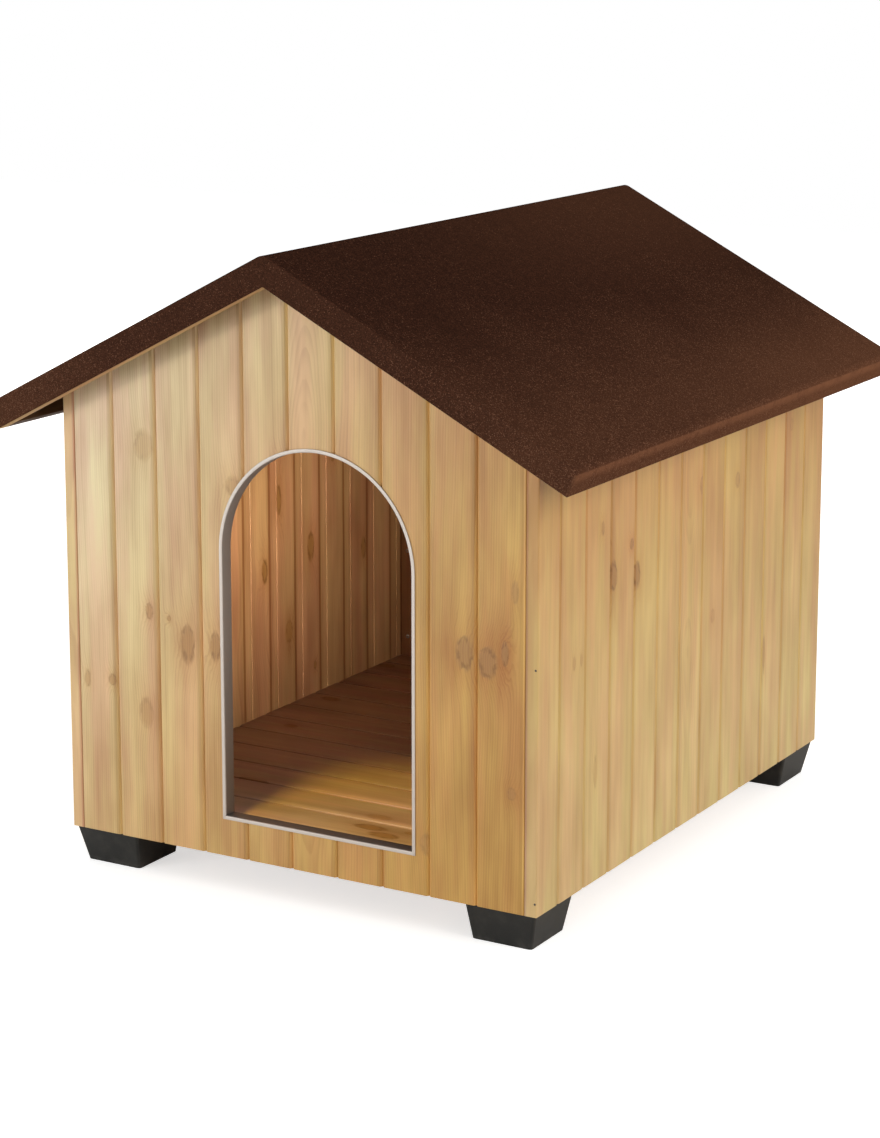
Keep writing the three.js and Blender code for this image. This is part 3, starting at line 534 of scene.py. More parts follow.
def makeBoards(name, wall):
    colours = wall.get("wood", pine)
    material, tree, shader, place = newMaterial(name, Coat_Roughness=0.4, Specular_IOR_Level=0.28)
    axis = parts(tree, place)
    across, depth, along = (axis[letter] for letter in wall["axes"])
    split = useGroup(tree, boardGroup, {
        "Across": across, "First Joint": wall["joint"] * mm, "Cover": cover * mm, "Seed": wall["seed"]})
    depth = calc(tree, "ABSOLUTE", minus(tree, depth, wall["face"] * mm))
    tone = split["Tone"]
    if "tones" in wall:
        tone = boardTones(tree, split["Board"], *wall["tones"])
    marks = unmarked
    if "stray" in wall:
        found = strayKnot(tree, across, along, split, wall)
        marks = {mark: found[mark] for mark in marks}
    for knotAcross, knotAlong, width, length, strength in wall.get("knots", []):
        board = math.floor((knotAcross - wall["joint"]) / cover)
        found = useGroup(tree, knotGroup, {
            "Across": across, "Along": along, "Board": split["Board"],
            "Knot Across": knotAcross * mm, "Knot Along": knotAlong * mm, "Knot Board": board,
            "Width": width * mm, "Length": length * mm, "Strength": strength, **marks})
        marks = {mark: found[mark] for mark in marks}
    varnished, bare = colours["varnishReach"]
    inside = span(tree, depth, varnished, bare)
    tree.links.new(span(tree, depth, bare, varnished, 0.0, colours["coat"]), shader.inputs["Coat Weight"])
    light = blendColour(tree, inside, colours["light"], colours["insideLight"])
    dark = blendColour(tree, inside, colours["dark"], colours["insideDark"])
    grain = useGroup(tree, pineGroup, {
        "Across": across, "Depth": depth, "Along": along, "Tone": tone, "Shift": split["Shift"],
        "Light": light, "Dark": dark, "Knot": colours["knot"], "Contrast": wall.get("contrast", 1.0),
        "Tone Range": colours["toneRange"], **marks})

    # Stain beside the joints, with painted shade where a board's edge is turned from the light
    lowJointShade, highJointShade = wall.get("jointShadeAndStainStrengths", (0.3, 0.3))
    beside = larger(tree, span(tree, split["From Low"], *colours["jointShadeReach"], 0.0, lowJointShade),
                    span(tree, split["From High"], *colours["jointShadeReach"], 0.0, highJointShade))
    # The painted joint shade weakens from the wall's lit end towards its shaded end
    if "paintedLight" in wall:
        paintedLight = wall["paintedLight"]
        towardsShade = timesPlus(tree, across, paintedLight["across"], times(tree, along, paintedLight["along"]))
        towardsShade = span(tree, towardsShade, paintedLight["from"], paintedLight["to"], smooth=False)
        beside = times(tree, beside, timesPlus(tree, towardsShade, -0.6, 1.0))
    colour = tinted(tree, grain["Color"], colours["jointShadeAndStain"], beside)
    nearest = calc(tree, "MINIMUM", split["From Low"], split["From High"])
    # Painted light in the groove on the outer faces, painted shade in it on the inner faces
    groove = blendColour(tree, inside, wall.get("groove", colours["groove"]), colours["paintedInnerGrooveShade"])
    colour = tinted(tree, colour, groove, span(tree, nearest, *colours["grooveReach"]))
    # Painted highlight on the lit board edges by the door
    if "litEdges" in wall:
        litEdges = wall["litEdges"]
        wearAndLight = times(tree, span(tree, split["From Low"], *litEdges["reach"]),
                     span(tree, across, *litEdges["across"]), span(tree, along, *litEdges["along"]))
        colour = tinted(tree, colour, colours["litEdges"], wearAndLight)
    # Painted light: a painted sheen at the wall's lit end, painted shade in amber at its other end
    if "paintedLight" in wall:
        litShare = calc(tree, "POWER", minus(tree, 1.0, towardsShade), paintedLight["bend"])
        tint = blendColour(tree, litShare, paintedLight["shadedTint"], paintedLight["pale"])
        wood = timesPlus(tree, larger(tree, marks["Heart"], marks["Rim"]), -0.9, 1.0)
        colour = tinted(tree, colour, tint, wood)
    if "outer" in wall:
        colour = tinted(tree, colour, wall["outer"], minus(tree, 1.0, inside))
    if "corner" in wall:  # the last narrow strip is paler
        corner = wall["corner"]
        colour = tinted(tree, colour, corner["tint"], span(tree, across, corner["from"], corner["to"]))
    finishMaterial(tree, shader, colour, grain["Roughness"], grain["Height"])
    return material


# Wood of the frame, verges and eaves: one piece each, with no joints
frameWood = {"light": (0.62, 0.42, 0.22, 1), "dark": (0.40, 0.22, 0.085, 1)}
# very dark: partly stain, partly painted shade under the eaves
stainedAndShadedWood = {"light": (0.085, 0.040, 0.019, 1), "dark": (0.045, 0.020, 0.010, 1)}
sawMarks = {"perMetre": 420.0, "depth": 0.12 * mm}


def makeFrameWood(name, axes, seed, turn=0.0, colours=frameWood):
    material, tree, shader, place = newMaterial(name, Specular_IOR_Level=0.35)
    turned = addNode(tree, "ShaderNodeVectorRotate", {"Vector": place, "Angle": turn}, rotation_type="Y_AXIS")
    axis = parts(tree, turned.outputs[0])
    across, depth, along = (axis[letter] for letter in axes)
    grain = useGroup(tree, pineGroup, {
        "Across": across, "Depth": depth, "Along": along, "Tone": 0.5, "Shift": (seed, 1 - seed, seed * 0.7),
        "Light": colours["light"], "Dark": colours["dark"], "Knot": colours["dark"], "Contrast": 0.75,
        "Tone Range": 0.0, **unmarked})
    saw = noise(tree, vector(tree, times(tree, along, sawMarks["perMetre"]), across, depth), 1.0, 1)
    height = timesPlus(tree, saw, sawMarks["depth"], grain["Height"])
    rough = plus(tree, grain["Roughness"], 0.14)
    finishMaterial(tree, shader, grain["Color"], rough, height)
    return material


# very dark: partly stain, partly painted shade under the roof
plywood = {
    "light": (0.125, 0.058, 0.026, 1),
    "dark": (0.060, 0.026, 0.012, 1),
    "figure": (3.0, 0.9),  # how fine the rings are, across the sheet and along it
    "rings": 14.0,
    "fibre": (700.0, 14.0, 700.0),
    "relief": 0.18 * mm,
}


def makePlywood(name, side):
    material, tree, shader, place = newMaterial(name, Specular_IOR_Level=0.3)
    turned = addNode(tree, "ShaderNodeVectorRotate", {
        "Vector": place, "Angle": -side * gable["slope"]}, rotation_type="Y_AXIS").outputs[0]
    axis = parts(tree, turned)
    across, along = plywood["figure"]
    swirl = noise(tree, vector(tree, times(tree, axis["X"], across), times(tree, axis["Y"], along)), 1.6, 3)
    figure = calc(tree, "FRACT", timesPlus(tree, swirl, plywood["rings"], times(tree, axis["X"], 9.0)))
    figure = times(tree, span(tree, figure, 0.1, 0.9), span(tree, figure, 1.0, 0.92))
    stretched = [times(tree, axis[letter], scale) for letter, scale in zip("XYZ", plywood["fibre"])]
    fibres = noise(tree, vector(tree, *stretched), 1.0, 3, 0.65)
    amount = timesPlus(tree, figure, 0.5, times(tree, fibres, 0.5))
    colour = blendColour(tree, amount, plywood["light"], plywood["dark"])
    finishMaterial(tree, shader, colour, 0.68, times(tree, fibres, plywood["relief"]))
    return material


feltLook = {
    "bitumen": (0.027, 0.0113, 0.0075, 1),
    "grain": (0.066, 0.0255, 0.0148, 1),
    "pale": (0.16, 0.075, 0.045, 1),
    "wearAndLight": (0.200, 0.085, 0.044, 1),
    "stone": 1.1 * mm,
    "stoneHeight": 0.4 * mm,
    "wave": 2 * mm,
    # the pale colour's share: worn on the folds, painted sheen low on the slopes, and paler at the back by
    # ridge and eaves
    "eaveRub": 0.62,
    "vergeRub": 0.08,
    "lowSheen": 0.20,
    "backRidgePale": 0.19,
    "backEavePale": 0.22,
}


def makeFelt():
    material, tree, shader, place = newMaterial("mineralFelt", Specular_IOR_Level=0.0)
    cells = addNode(tree, "ShaderNodeTexVoronoi", {
        "Vector": place, "Scale": 1 / feltLook["stone"], "Randomness": 1.0})
    chance = parts(tree, cells.outputs["Color"])
    patches = noise(tree, place, 5.0, 4, 0.6)
    bare = noise(tree, place, 60.0, 3, 0.6)
    axis = parts(tree, place)
    outwards = calc(tree, "ABSOLUTE", axis["X"])
    drop = minus(tree, gable["ridge"], axis["Z"])
    down = timesPlus(tree, outwards, math.cos(gable["slope"]), times(tree, drop, math.sin(gable["slope"])))
    below = timesPlus(tree, outwards, -math.tan(gable["slope"]), drop)
    lower = span(tree, sway(tree, patches, 0.22, down), 0.14, 0.50)

    colour = blendColour(tree, span(tree, chance["X"], 0.25, 1.0), feltLook["bitumen"], feltLook["grain"])
    # Pale granules grow commoner lower down the slopes, in part a painted sheen
    paleFrom = timesPlus(tree, patches, -0.10, timesPlus(tree, lower, -0.12, 1.02))
    pale = span(tree, chance["Y"], paleFrom, plus(tree, paleFrom, 0.03))
    colour = blendColour(tree, pale, colour, feltLook["pale"])
    dirt = times(tree, span(tree, bare, 0.45, 0.7), 0.4)
    colour = blendColour(tree, dirt, colour, feltLook["bitumen"])

    # The folded edges are rubbed paler than the slopes, the lower slopes get a painted sheen, and the back
    # end is paler
    eave = gable["eave"]
    eaveFold = times(tree, span(tree, down, eave - 6 * mm, eave - 3 * mm), span(tree, below, 3 * mm, 7 * mm),
                     span(tree, below, 10 * mm, 24 * mm, 1.0, 0.5))
    vergeFold = span(tree, calc(tree, "ABSOLUTE", axis["Y"]), 506.5 * mm, 508.5 * mm)
    wearAndSheen = larger(tree, times(tree, eaveFold, feltLook["eaveRub"]), times(tree, lower, feltLook["lowSheen"]))
    wearAndSheen = larger(tree, wearAndSheen, times(tree, vergeFold, feltLook["vergeRub"]))
    wearAndSheen = times(tree, wearAndSheen, span(tree, bare, 0.25, 0.6, 0.75, 1.1))
    back = span(tree, axis["Y"], -0.35, 0.45)
    backRidge = times(tree, back, span(tree, down, 0.36, 0.03), feltLook["backRidgePale"])
    backEave = times(tree, back, span(tree, down, 0.33, 0.50))
    wearAndSheen = timesPlus(tree, backEave, feltLook["backEavePale"], larger(tree, wearAndSheen, backRidge))
    colour = blendColour(tree, wearAndSheen, colour, feltLook["wearAndLight"])

    stone = times(tree, span(tree, cells.outputs["Distance"], 0.6, 0.1),
                  span(tree, chance["Z"], 0, 1, 0.5, 1.0))
    height = timesPlus(tree, stone, feltLook["stoneHeight"], times(tree, patches, feltLook["wave"]))
    rough = span(tree, chance["Z"], 0, 1, 0.75, 0.95, False)
    finishMaterial(tree, shader, colour, rough, height)
    return material


# Tarnish multiplies a metal's own colour
# The dark colour here is painted shade inside the doorway's reveal
metalLook = {"tarnish": (0.62, 0.60, 0.58), "revealShade": (0.11, 0.085, 0.068, 1), "scratch": 0.04 * mm}


def makeMetal(name, colour, roughness, brushed, spangle=0.0, metallic=1.0, shadeFrom=None):
    material, tree, shader, place = newMaterial(name, Metallic=metallic)
    fine = addNode(tree, "ShaderNodeMapping", {"Vector": place, "Scale": brushed})
    lines = noise(tree, fine.outputs[0], 1.0, 2, 0.6)
    blotch = noise(tree, place, 45.0, 3, 0.6)
    flakes = addNode(tree, "ShaderNodeTexVoronoi", {"Vector": place, "Scale": 160.0}).outputs["Color"]
    flake = parts(tree, flakes)["X"]
    dull = sway(tree, blotch, 0.35, times(tree, flake, spangle))
    shade = blendColour(tree, dull, colour, [a * b for a, b in zip(colour, metalLook["tarnish"])] + [1])
    if shadeFrom is not None:  # everything behind this Y gets painted shade, more so lower down
        axis = parts(tree, place)
        revealShade = times(tree, span(tree, axis["Y"], shadeFrom, shadeFrom + 2 * mm),
                      span(tree, axis["Z"], 0.10, 0.42, 0.8, 0.1))
        shade = blendColour(tree, revealShade, shade, metalLook["revealShade"])
    rough = timesPlus(tree, lines, 0.22, roughness - 0.11)
    rough = timesPlus(tree, blotch, 0.12, rough)
    finishMaterial(tree, shader, shade, rough, times(tree, lines, metalLook["scratch"]))
    return material


plasticLook = {
    "black": (0.014, 0.0135, 0.012, 1),
    "dustAndLight": (0.070, 0.063, 0.055, 1),
    "litSides": 0.22,  # painted light: paler on the sides than on the ends
    "relief": 0.08 * mm,
}


def makePlastic():
    material, tree, shader, place = newMaterial("footPlastic", Specular_IOR_Level=0.35)
    orange = addNode(tree, "ShaderNodeTexVoronoi", {"Vector": place, "Scale": 900.0}).outputs["Distance"]
    scuffs = noise(tree, place, 38.0, 4, 0.65)
    dust = span(tree, parts(tree, place)["Z"], 12 * mm, 0.0)
    amount = times(tree, timesPlus(tree, dust, 0.5, 0.25), span(tree, scuffs, 0.4, 0.75))
    facing = parts(tree, addNode(tree, "ShaderNodeNewGeometry").outputs["Normal"])
    # Painted light: faces that look sideways are paler
    sideways = span(tree, calc(tree, "ABSOLUTE", facing["X"]), 0.5, 0.9)
    amount = timesPlus(tree, sideways, plasticLook["litSides"], amount)
    colour = blendColour(tree, amount, plasticLook["black"], plasticLook["dustAndLight"])
    rough = timesPlus(tree, scuffs, 0.2, 0.42)
    finishMaterial(tree, shader, colour, rough, times(tree, orange, plasticLook["relief"]))
    return material


def bodyOf(node):
    for name, nodes in frame["record"]["behaviour"]["bodies"].items():
        if node in nodes:
            return name
    raise KeyError(node)


def makePiece(name, mesh, body, material, node=None):
    piece = bpy.data.objects.new(name, mesh)
    bpy.context.scene.collection.objects.link(piece)
    mesh.materials.clear()
    mesh.materials.append(material)
    for face in mesh.polygons:
        face.use_smooth = True
    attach(piece, body)
    if node:
        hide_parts(node)
    return piece


# A copy of a CAD node with its sharp edges broken by a small round.
def roundEdges(node, width, material, segments=2, sharp=30):
    mesh = frame["nodes"][node].data.copy()
    build = bmesh.new()
    build.from_mesh(mesh)
    bmesh.ops.remove_doubles(build, verts=build.verts, dist=0.02 * mm)
    bmesh.ops.dissolve_limit(build, angle_limit=math.radians(0.5), verts=build.verts, edges=build.edges)
    edges = [e for e in build.edges if e.is_manifold and e.calc_face_angle(0) > math.radians(sharp)]
    bmesh.ops.bevel(build, geom=edges, offset=width, segments=segments, profile=0.5, affect="EDGES",
                    clamp_overlap=True)
    bmesh.ops.remove_doubles(build, verts=build.verts, dist=0.005 * mm)
    bmesh.ops.triangulate(build, faces=build.faces)
    build.to_mesh(mesh)
    build.free()
    mesh.name = node + "_rounded"
    piece = makePiece(node + "_rounded", mesh, bodyOf(node), material, node)
    piece.modifiers.new("normals", "WEIGHTED_NORMAL").keep_sharp = True
    return piece


def nodesLike(*starts):
    return [name for name in frame["nodes"] if name.startswith(starts)]


edging = {"sheet": 1.2 * mm, "lip": 5 * mm, "front": -450.5 * mm, "back": -429.5 * mm,
          "centre": 37.6 * mm, "half": 145 * mm, "sill": 107 * mm, "spring": 472 * mm,
          "mitre": 0.42 * mm, "arcSteps": 72, "round": 0.9 * mm, "burr": 0.35 * mm}


# The U as (outwards from the clear edge, y), with its two bends rounded and its edges broken
def edgingSection():
    sheet, lip, front, back = edging["sheet"], edging["lip"], edging["front"], edging["back"]
    bend, burr = edging["round"], edging["burr"]
    turns = [math.radians(22.5 * step) for step in range(5)]
    section = [(lip, front + sheet - burr), (lip - burr, front + sheet)]
    section += [(sheet, front + sheet), (sheet, back - sheet)]
    section += [(lip - burr, back - sheet), (lip, back - sheet + burr)]
    section += [(lip, back - burr), (lip - burr, back)]
    section += [(bend - bend * math.sin(turn), back - bend + bend * math.cos(turn)) for turn in turns]
    section += [(bend - bend * math.cos(turn), front + bend - bend * math.sin(turn)) for turn in turns]
    section += [(lip - burr, front), (lip, front + burr)]
    return section


def sweepEdging(stations):
    build = bmesh.new()
    section = edgingSection()
    rings = [[build.verts.new(place(out, y)) for out, y in section] for place in stations]
    for a, b in zip(rings, rings[1:]):
        for i in range(len(section)):
            j = (i + 1) % len(section)
            build.faces.new((a[i], a[j], b[j], b[i]))
    for ring in (rings[0], rings[-1]):
        build.faces.new(ring)
    bmesh.ops.triangulate(build, faces=[f for f in build.faces if len(f.verts) > 4])
    bmesh.ops.recalc_face_normals(build, faces=build.faces)
    mesh = bpy.data.meshes.new("edging")
    build.to_mesh(mesh)
    build.free()
    return mesh


def addEdging(material):
    centre, half, sill, spring = edging["centre"], edging["half"], edging["sill"], edging["spring"]
    lift = edging["mitre"]
    stations = [lambda out, y: (centre - half - out, y, sill - out + lift),
                lambda out, y: (centre - half - out, y, spring)]
    for step in range(1, edging["arcSteps"]):
        angle = math.pi * (1 - step / edging["arcSteps"])
        stations.append(lambda out, y, a=angle: (
            centre + (half + out) * math.cos(a), y, spring + (half + out) * math.sin(a)))
    stations += [lambda out, y: (centre + half + out, y, spring),
                 lambda out, y: (centre + half + out, y, sill - out + lift)]
    arch = makePiece("door_edging_arch_bent", sweepEdging(stations), "cabin", material, "door_edging_arch")
    stations = [lambda out, y: (centre - half - out, y, sill - out),
                lambda out, y: (centre + half + out, y, sill - out)]
    bottom = makePiece("door_edging_sill_bent", sweepEdging(stations), "cabin", material, "door_edging_sill")
    for piece in (arch, bottom):
        piece.data.set_sharp_from_angle(angle=math.radians(35))


screws = {"radius": 3.4 * mm, "dome": 0.7 * mm, "sides": 20, "slot": 2.0 * mm, "slotWidth": 0.62 * mm,
          "slotDepth": 0.9 * mm, "under": 0.25 * mm, "sunk": 1.2 * mm}


# A countersunk head with a cross recess. Its top faces +Z and its rim is at z 0.
def screwHead():
    build = bmesh.new()
    sides, radius, dome = screws["sides"], screws["radius"], screws["dome"]
    profile = [(0.8 * radius, -screws["sunk"]), (radius, -screws["under"]), (0.97 * radius, 0.1 * mm),
               (0.78 * radius, 0.6 * dome)]
    turns = [2 * math.pi * i / sides for i in range(sides)]
    rims = [[build.verts.new((far * math.cos(turn), far * math.sin(turn), height)) for turn in turns]
            for far, height in profile]
    for a, b in zip(rims, rims[1:]):
        for i in range(sides):
            j = (i + 1) % sides
            build.faces.new((a[i], a[j], b[j], b[i]))
    build.faces.new(list(reversed(rims[0])))
    w, s = screws["slotWidth"], screws["slot"]
    cross = [(s, -w), (s, w), (w, w), (w, s), (-w, s), (-w, w),
             (-s, w), (-s, -w), (-w, -w), (-w, -s), (w, -s), (w, -w)]
    top = 0.85 * dome
    mouth = [build.verts.new((x, y, top)) for x, y in cross]
    floor = [build.verts.new((x * 0.8, y * 0.8, top - screws["slotDepth"])) for x, y in cross]
    for i in range(len(cross)):
        j = (i + 1) % len(cross)
        build.faces.new((mouth[i], floor[i], floor[j], mouth[j]))
    build.faces.new(floor)
    rim = [e for e in build.edges if len(e.link_faces) == 1]
    bmesh.ops.triangle_fill(build, edges=rim, use_beauty=True)
    bmesh.ops.triangulate(build, faces=build.faces)
    bmesh.ops.recalc_face_normals(build, faces=build.faces)
    mesh = bpy.data.meshes.new("screwHead")
    build.to_mesh(mesh)
    build.free()
    return bpy.data.objects.new("screwHead", mesh)


rowInputs = {"Geometry": "Geometry", "Head": "Object", "Start": "Vector", "End": "Vector", "Count": "Int",
             "Facing": "Vector", "Size": "Float", "Seed": "Int", "Finish": "Material"}


def makeRowTree():
    tree = bpy.data.node_groups.new("screwRow", "GeometryNodeTree")
    for name, kind in rowInputs.items():
        tree.interface.new_socket(name, in_out="INPUT", socket_type="NodeSocket" + kind)
    tree.interface.new_socket("Geometry", in_out="OUTPUT", socket_type="NodeSocketGeometry")
    given = tree.nodes.new("NodeGroupInput").outputs
    out = tree.nodes.new("NodeGroupOutput")
    step = addNode(tree, "ShaderNodeVectorMath", {0: given["End"], 1: given["Start"]}, operation="SUBTRACT")
    share = over(tree, 1.0, larger(tree, minus(tree, given["Count"], 1.0), 1.0))
    step = addNode(tree, "ShaderNodeVectorMath", {0: step.outputs[0], "Scale": share}, operation="SCALE")
    line = addNode(tree, "GeometryNodeMeshLine", {
        "Count": given["Count"], "Start Location": given["Start"], "Offset": step.outputs[0]}, mode="OFFSET")
    points = addNode(tree, "GeometryNodeMeshToPoints", {"Mesh": line.outputs[0]})
    upright = addNode(tree, "FunctionNodeAlignRotationToVector", {"Vector": given["Facing"]}, axis="Z")
    spin = addNode(tree, "FunctionNodeRandomValue", {"Seed": given["Seed"]}, data_type="FLOAT")
    spin.inputs[2].default_value = 0.0
    spin.inputs[3].default_value = math.pi
    turn = addNode(tree, "FunctionNodeAxisAngleToRotation", {"Axis": (0, 0, 1), "Angle": spin.outputs[1]})
    both = addNode(tree, "FunctionNodeRotateRotation", {
        "Rotation": upright.outputs[0], "Rotate By": turn.outputs[0]}, rotation_space="LOCAL")
    head = addNode(tree, "GeometryNodeObjectInfo", {"Object": given["Head"]})
    placed = addNode(tree, "GeometryNodeInstanceOnPoints", {
        "Points": points.outputs[0], "Instance": head.outputs["Geometry"], "Rotation": both.outputs[0],
        "Scale": given["Size"]})
    real = addNode(tree, "GeometryNodeRealizeInstances", {"Geometry": placed.outputs[0]})
    painted = addNode(tree, "GeometryNodeSetMaterial", {
        "Geometry": real.outputs[0], "Material": given["Finish"]})
    tree.links.new(painted.outputs[0], out.inputs[0])
    return tree


def setInput(modifier, name, value):
    for item in modifier.node_group.interface.items_tree:
        if item.item_type == "SOCKET" and item.in_out == "INPUT" and item.name == name:
            modifier[item.identifier] = value


# Rows are (start, end, count, facing, size), in millimetres. All rows of a body become one mesh.
def addRows(name, body, rows, head, material):
    build = bmesh.new()
    for number, (start, end, count, facing, size) in enumerate(rows):
        holder = bpy.data.objects.new("row", bpy.data.meshes.new("row"))
        bpy.context.scene.collection.objects.link(holder)
        modifier = holder.modifiers.new("row", "NODES")
        modifier.node_group = rowTree
        values = {"Head": head, "Start": [c * mm for c in start], "End": [c * mm for c in end],
                  "Count": count, "Facing": list(facing), "Size": size, "Seed": 7 + number,
                  "Finish": material}
        for key, value in values.items():
            setInput(modifier, key, value)
        bpy.context.view_layer.update()
        solid = bpy.data.meshes.new_from_object(holder.evaluated_get(bpy.context.evaluated_depsgraph_get()))
        build.from_mesh(solid)
        bpy.data.objects.remove(holder)
    mesh = bpy.data.meshes.new(name)
    build.to_mesh(mesh)
    build.free()
    piece = makePiece(name, mesh, body, material)
    piece.data.set_sharp_from_angle(angle=math.radians(35))
    return piece


# In millimetres. The drill runs in from below the foot and is wider there.
footScrew = {"across": 307, "along": 391, "depth": 5, "hole": 5.6, "flare": 0.8, "overcut": 2, "sides": 28}


# A foot with its edges eased and a hole up into it for its screw.
def makeFoot(node, material):
    piece = roundEdges(node, arris["foot"], material, 3)
    low, high = (Vector(corner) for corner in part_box(node))
    middle = (low + high) / 2
    depth, overcut, hole = footScrew["depth"], footScrew["overcut"], footScrew["hole"]
    spot = Vector((math.copysign(footScrew["across"], middle.x), math.copysign(footScrew["along"], middle.y),
                   (depth - overcut) / 2))
    build = bmesh.new()
    bmesh.ops.create_cone(
        build, cap_ends=True, segments=footScrew["sides"], radius1=(hole + footScrew["flare"]) * mm,
        radius2=hole * mm, depth=(depth + overcut) * mm, matrix=Matrix.Translation(spot * mm))
    drill = bpy.data.objects.new("drill", bpy.data.meshes.new("drill"))
    build.to_mesh(drill.data)
    build.free()
    bpy.context.scene.collection.objects.link(drill)
    piece.modifiers.clear()
    cut = piece.modifiers.new("hole", "BOOLEAN")
    cut.object = drill
    cut.solver = "EXACT"
    bpy.context.view_layer.update()
    solid = bpy.data.meshes.new_from_object(piece.evaluated_get(bpy.context.evaluated_depsgraph_get()))
    piece.modifiers.clear()
    piece.data = solid
    bpy.data.objects.remove(drill)
    piece.data.set_sharp_from_angle(angle=math.radians(40))
    piece.modifiers.new("normals", "WEIGHTED_NORMAL").keep_sharp = True


# A point under the roof, in millimetres: down the slope from the ridge, and below the felt's top
def slopePoint(down, depth, side, y):
    slope = gable["slope"]
    x = down * math.cos(slope) - depth * math.sin(slope)
    return (side * x, y, gable["ridge"] / mm - down * math.sin(slope) - depth * math.cos(slope))


# In millimetres
screwPlaces = {
    "gableFace": 402.7,  # inner faces of the gable battens and posts, from the middle
    "battenDepth": 45,  # middle of the battens below the felt's top
    "battenRun": (60, 360),
    "post": (333, 130, 560),  # from the middle, and the lowest and highest screw
    "rightRail": 298.7,
    "leftRail": 299,
    "railRun": 380,
    "railHeight": 629,
    "hinges": (-300, 300),
    "hingeSpread": (-20, 0, 20),
    "wallLeaf": (-366.8, 644, 636),  # its outer face, the outer screws' height and the middle one's
    "roofLeaf": (442, 449),  # the same two, down the slope
    "underSteel": 23.1,  # face of the sheet steel under the deck, below the felt's top
    "rodFittings": ((-314, 0.6), (-286, 0.6), (238.1, 0.55)),  # along the roof, and size: bracket and clip
    "rodDown": 356.5,
}


def screwRows():
    cabin, above = [], []
    places = screwPlaces
    first, last = places["battenRun"]
    postPlace, low, high = places["post"]
    for side in (-1, 1):
        for y in (-places["gableFace"], places["gableFace"]):
            facing = (0, 1 if y < 0 else -1, 0)
            ends = [slopePoint(down, places["battenDepth"], side, y) for down in (first, last)]
            cabin.append((*ends, 5, facing, 1.0))
            cabin.append(((side * postPlace, y, low), (side * postPlace, y, high), 4, facing, 1.0))
        rail = side * (places["rightRail"] if side > 0 else places["leftRail"])
        ends = [(rail, y, places["railHeight"]) for y in (-places["railRun"], places["railRun"])]
        cabin.append((*ends, 7, (-side, 0, 0), 1.0))
        for y in (-footScrew["along"], footScrew["along"]):  # up in the hole of each foot
            spot = (side * footScrew["across"], y, footScrew["depth"])
            cabin.append((spot, spot, 1, (0, 0, -1), 1.2))
    face, outer, inner = places["wallLeaf"]
    outerDown, innerDown = places["roofLeaf"]
    sine, cosine = math.sin(gable["slope"]), math.cos(gable["slope"])
    for place in places["hinges"]:
        for dy in places["hingeSpread"]:
            spot = (face, place + dy, outer if dy else inner)
            cabin.append((spot, spot, 1, (-1, 0, 0), 0.75))
            spot = slopePoint(outerDown if dy else innerDown, places["underSteel"], -1, place + dy)
            above.append((spot, spot, 1, (sine, 0, -cosine), 0.75))
    for y, size in places["rodFittings"]:
        spot = slopePoint(places["rodDown"], places["underSteel"], 1, y)
        above.append((spot, spot, 1, (-sine, 0, -cosine), size))
    return cabin, above


nails = {"places": ((361.7, -449.2, 373.5), (362.5, -449.2, 68)), "size": 0.45}  # in millimetres


def addScrews(screwMaterial, nailMaterial):
    head = screwHead()
    cabin, above = screwRows()
    addRows("frame_screws", "cabin", cabin, head, screwMaterial)
    addRows("roof_screws", "roof", above, head, screwMaterial)
    rows = [(spot, spot, 1, (0, -1, 0), nails["size"]) for spot in nails["places"]]
    addRows("corner_nails", "cabin", rows, head, nailMaterial)
    bpy.data.objects.remove(head)


addCamera()
addStudio()
print("camera and studio")

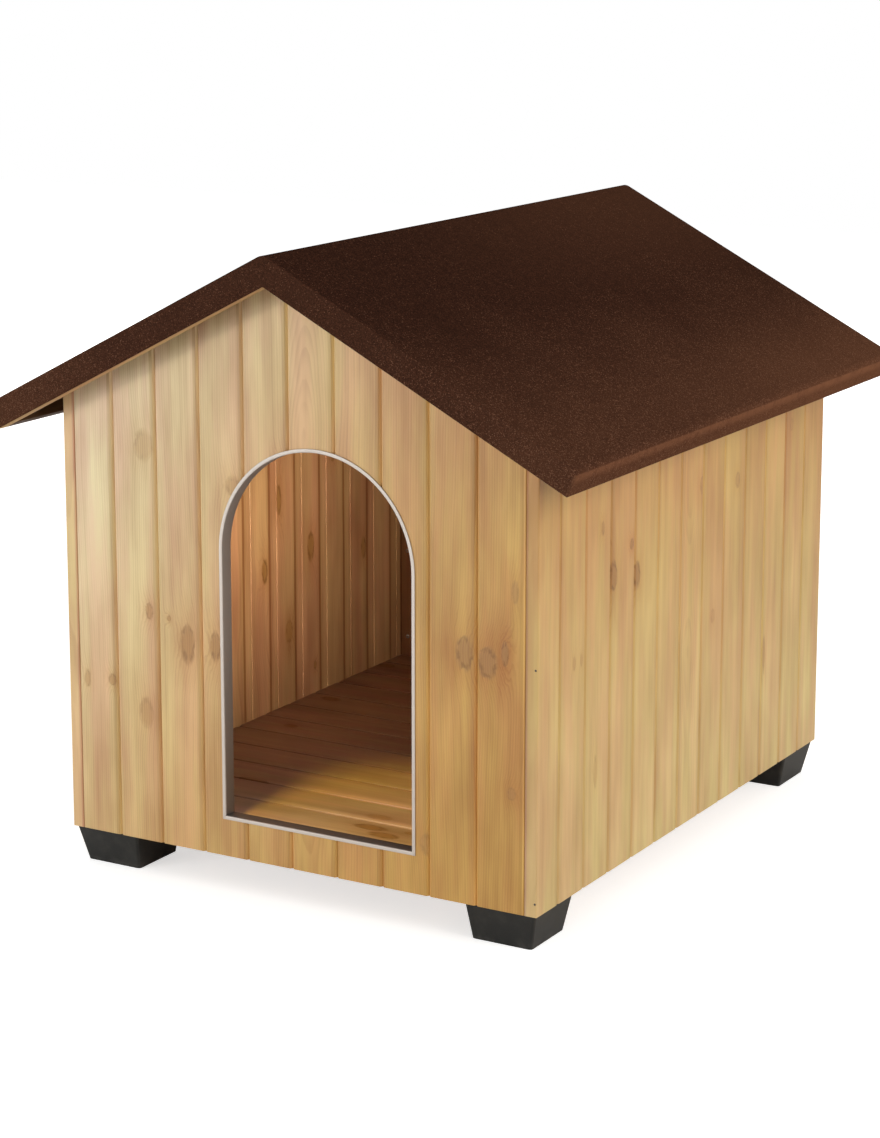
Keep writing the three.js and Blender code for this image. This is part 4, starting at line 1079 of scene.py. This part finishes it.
boardGroup = makeBoardGroup()
knotGroup = makeKnotGroup()
pineGroup = makePineGroup()
wallPine = {name: makeBoards("pine_" + name, wall) for name, wall in walls.items()}
roofWood = {side: makeFrameWood("frameWood_slope_" + word, "ZYX", 0.31 + 0.2 * side, -side * gable["slope"])
            for word, side in (("left", -1), ("right", 1))}
uprightWood = makeFrameWood("frameWood_upright", "XYZ", 0.62)
crossWood = makeFrameWood("frameWood_cross", "YZX", 0.17)
lengthWood = makeFrameWood("frameWood_length", "XZY", 0.84)
eaveWood = makeFrameWood("stainedAndShadedWood_eave", "XZY", 0.45, colours=stainedAndShadedWood)
feltMaterial = makeFelt()
# the reveal inside the doorway gets painted shade
aluminium = makeMetal("satinAluminium", (0.56, 0.495, 0.44, 1), 0.42, (900.0, 60.0, 60.0), metallic=0.45,
                      shadeFrom=-0.4495)
zinc = makeMetal("zincSteel", (0.62, 0.63, 0.64, 1), 0.36, (300.0, 300.0, 300.0), 0.35)
iron = makeMetal("nailIron", (0.16, 0.13, 0.11, 1), 0.55, (300.0, 300.0, 300.0))
plastic = makePlastic()
print("materials")

for node in nodesLike("front_board"):
    roundEdges(node, arris["board"], wallPine["front"])
for node in nodesLike("right_board"):
    roundEdges(node, arris["board"], wallPine["right"])
lightOnly("door", roundEdges("left_wall", arris["board"], wallPine["left"]))
roundEdges("back_wall", arris["board"], wallPine["back"])
lightOnly("doorway", roundEdges("floor_panel", arris["board"], wallPine["floor"]))
print("walls and floor")

for node in nodesLike("front_post"):
    roundEdges(node, arris["frame"], uprightWood)
for node in nodesLike("front_bottom_rail"):
    roundEdges(node, arris["frame"], crossWood)
for node in nodesLike("right_top_rail", "right_bottom_rail", "ridge_beam"):
    roundEdges(node, arris["frame"], lengthWood)
for node in nodesLike("eave_board"):
    roundEdges(node, arris["frame"], eaveWood)
for word, side in (("left", -1), ("right", 1)):
    for node in nodesLike("front_gable_batten_" + word, "front_verge_" + word, "back_verge_" + word):
        roundEdges(node, arris["frame"], roofWood[side])
    roundEdges("roof_deck_" + word, arris["deck"], makePlywood("plywood_" + word, side))
roundEdges("roof_felt", arris["felt"], feltMaterial, 3, 20)
print("frame and roof")

addEdging(aluminium)
for node in nodesLike("foot_"):
    makeFoot(node, plastic)
for node in nodesLike("hinge_", "prop_"):
    roundEdges(node, arris["metal"], zinc)
rowTree = makeRowTree()
addScrews(zinc, iron)
print("fittings")
